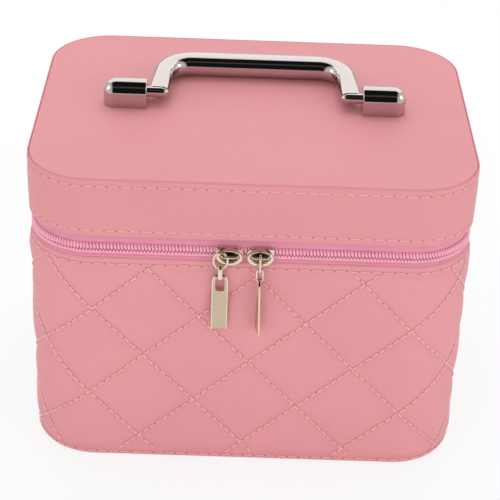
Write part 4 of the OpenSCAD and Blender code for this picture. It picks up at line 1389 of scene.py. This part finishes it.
cover = dress(make_quilted_cover(), quilted_leather, "base", "quilted_leather", "base_quilted_cover")
sew("quilting", *quilt_stitch_places(), "base", 4.1 * MM, 0.85 * MM, hole=0.65)
for name, z in (("base_hem", 0.1300), ("foot_hem", 0.0034)):
    sew(name, *hem_stitch_places(z, -0.10 * MM), "base", 5.2 * MM, 0.5 * MM)

dress(make_lid_band(), plain_leather, "lid", "plain_leather", "lid_band_cover")
for row, z in enumerate(STITCH_ROWS):
    sew(f"lid_row_{row + 1}", *hem_stitch_places(z * MM, -0.12 * MM, row * 2 * MM), "lid", 5.2 * MM, 0.5 * MM)
dress(make_lid_top(), plain_leather, "lid", "plain_leather", "lid_top_panel")

for name, side, body, board in (("upper", 1, "lid", "lid_band_board"),
                                ("lower", -1, "base", "base_wall_board")):
    tape = dress(make_tape(name), tape_cloth, body, "zip_tape", f"zip_tape_{name}")
    coil = make_coil(f"coil_{name}", side, 0.25 * COIL_PITCH * side)
    dress(coil, coil_nylon, body, "zip_teeth", f"zip_teeth_{name}")

make_mounts()
make_handle()
make_pulls()
make_hinge_sheet()
for body in ("base", "lid"):
    make_wall_lining(body)
    make_flat_lining(body)
make_mirror()
make_bottom_cover()
for side in (1, -1):
    make_end_tab(side)

for name, piece in nodes.items():
    look = grey_board if "board" in name else screw_steel
    piece.data.materials.clear()
    piece.data.materials.append(look)

# ---- stage, lamps and camera ----

AMBIENT = 0.45
CAMERA_ANGLES = (-0.65, 31.95, 2.26)
CAMERA_AWAY, LOOK_AT_Z = 0.9121, 0.08543
# lamp: place, what it points at, its size, its power, and whether metal shows it
LAMPS = {
    "key": ((-0.55, -0.95, 0.95), (0, 0, 0.10), (0.9, 0.7), 3.3, False),
    "fill": ((0.85, -0.8, 0.6), (0, 0, 0.09), (0.8, 0.8), 2.5, False),
    "low_fill": ((0.0, -1.3, 0.30), (0, 0, 0.05), (1.4, 0.5), 3.4, False),
    "top": ((0.0, 0.25, 1.3), (0, 0, 0.15), (1.0, 0.8), 2.6, False),
    "panel": ((0.0, 0.62, 0.72), (0, 0, 0.19), (1.7, 1.0), 4.9, True),
    "box_left": ((-1.25, -0.09, 0.62), (0, 0, 0.19), (0.5, 0.5), 1.9, True),
    "box_right": ((1.25, -0.09, 0.62), (0, 0, 0.19), (0.5, 0.5), 1.9, True),
}


def make_stage():
    """A wide sheet of white paper that keeps the case's shadow."""
    floor = start("plane", "floor", size=8.0)
    paper, tree, shader = finish("white_paper", (0.92, 0.92, 0.92), 0.9, Specular_IOR_Level=0.1)
    fibre = add_node(tree, "TexNoise", {"Vector": place_on(tree), "Scale": 400.0, "Detail": 2.0})
    bump_into(tree, shader, fibre.outputs[0], 0.02 * MM, 0.1)
    seen = add_node(tree, "LightPath").outputs
    glow = add_node(tree, "Emission", {"Color": (1, 1, 1), "Strength": 1.0})
    bright = math_node(tree, "MAXIMUM", seen["Is Camera Ray"], seen["Is Glossy Ray"])
    factor = math_node(tree, "MULTIPLY", bright, 0.80)
    blend = add_node(tree, "MixShader", {0: factor, 1: shader.outputs[0], 2: glow.outputs[0]})
    tree.links.new(blend.outputs[0], tree.nodes["Material Output"].inputs["Surface"])
    floor.data.materials.append(paper)


def make_world():
    """White to the camera, soft grey as light; metal sees white behind the case and a dim room in front."""
    world = bpy.data.worlds.new("studio")
    bpy.context.scene.world = world
    world.use_nodes = True
    tree = world.node_tree
    tree.nodes.clear()
    seen = add_node(tree, "LightPath").outputs
    way = add_node(tree, "SeparateXYZ", {0: add_node(tree, "TexCoord").outputs["Generated"]}).outputs
    climb = math_node(tree, "ARCTAN2", way["Z"], way["Y"])
    behind = span(tree, climb, math.radians(62), math.radians(70), 0.45, 0.0, smooth_step=True)
    sides = span(tree, math_node(tree, "ABSOLUTE", way["X"]), 0.46, 0.72, smooth_step=True)
    strip = math_node(tree, "MULTIPLY",
                      span(tree, climb, math.radians(118), math.radians(124), smooth_step=True),
                      span(tree, climb, math.radians(128), math.radians(138), 1.0, 0.0, smooth_step=True))
    walls = math_node(tree, "MAXIMUM", behind, math_node(tree, "MULTIPLY", sides, 0.75))
    front = math_node(tree, "ADD", 0.010, math_node(tree, "MULTIPLY", strip, 0.07))
    room = math_node(tree, "ADD", walls, front, clamp=True)
    ambient, mirrored, white = (
        add_node(tree, "Background", {"Color": colour, "Strength": strength}).outputs[0]
        for colour, strength in (((0.97, 0.98, 1.0), AMBIENT), ((1.0, 0.965, 0.955), room), ((1, 1, 1), 1.0)))
    light = add_node(tree, "MixShader", {0: seen["Is Glossy Ray"], 1: ambient, 2: mirrored}).outputs[0]
    shown = add_node(tree, "MixShader", {0: seen["Is Camera Ray"], 1: light, 2: white}).outputs[0]
    add_node(tree, "OutputWorld", {"Surface": shown})


def make_lamp(name, place, target, size, power, glossy):
    lamp = bpy.data.lights.new(name, "AREA")
    lamp.shape = "RECTANGLE"
    lamp.size, lamp.size_y = size
    lamp.energy = power
    holder = bpy.data.objects.new(name, lamp)
    bpy.context.scene.collection.objects.link(holder)
    holder.location = place
    holder.rotation_euler = (Vector(target) - Vector(place)).to_track_quat("-Z", "Y").to_euler()
    holder.visible_glossy = glossy
    holder.visible_camera = False


def make_camera():
    """Camera at the photograph's angle: in front, well above the lid, and very slightly rolled."""
    azimuth, elevation, roll = (math.radians(v) for v in CAMERA_ANGLES)
    back = Vector((math.sin(azimuth) * math.cos(elevation), -math.cos(azimuth) * math.cos(elevation),
                   math.sin(elevation)))
    right = (-back).cross(Vector((0, 0, 1))).normalized()
    up = right.cross(-back)
    c, s = math.cos(roll), math.sin(roll)
    data = bpy.data.cameras.new("camera")
    data.sensor_width, data.lens, data.shift_x = 36, 110.77, 0.00238
    data.clip_start, data.clip_end = 0.05, 20
    camera = bpy.data.objects.new("camera", data)
    bpy.context.scene.collection.objects.link(camera)
    camera.matrix_world = place_of(Vector((0, 0, LOOK_AT_Z)) + back * CAMERA_AWAY,
                                   right * c + up * s, up * c - right * s, back)
    bpy.context.scene.camera = camera


make_stage()
make_world()
for name, facts in LAMPS.items():
    make_lamp(name, *facts)
make_camera()
bpy.context.scene.view_settings.view_transform = "Standard"
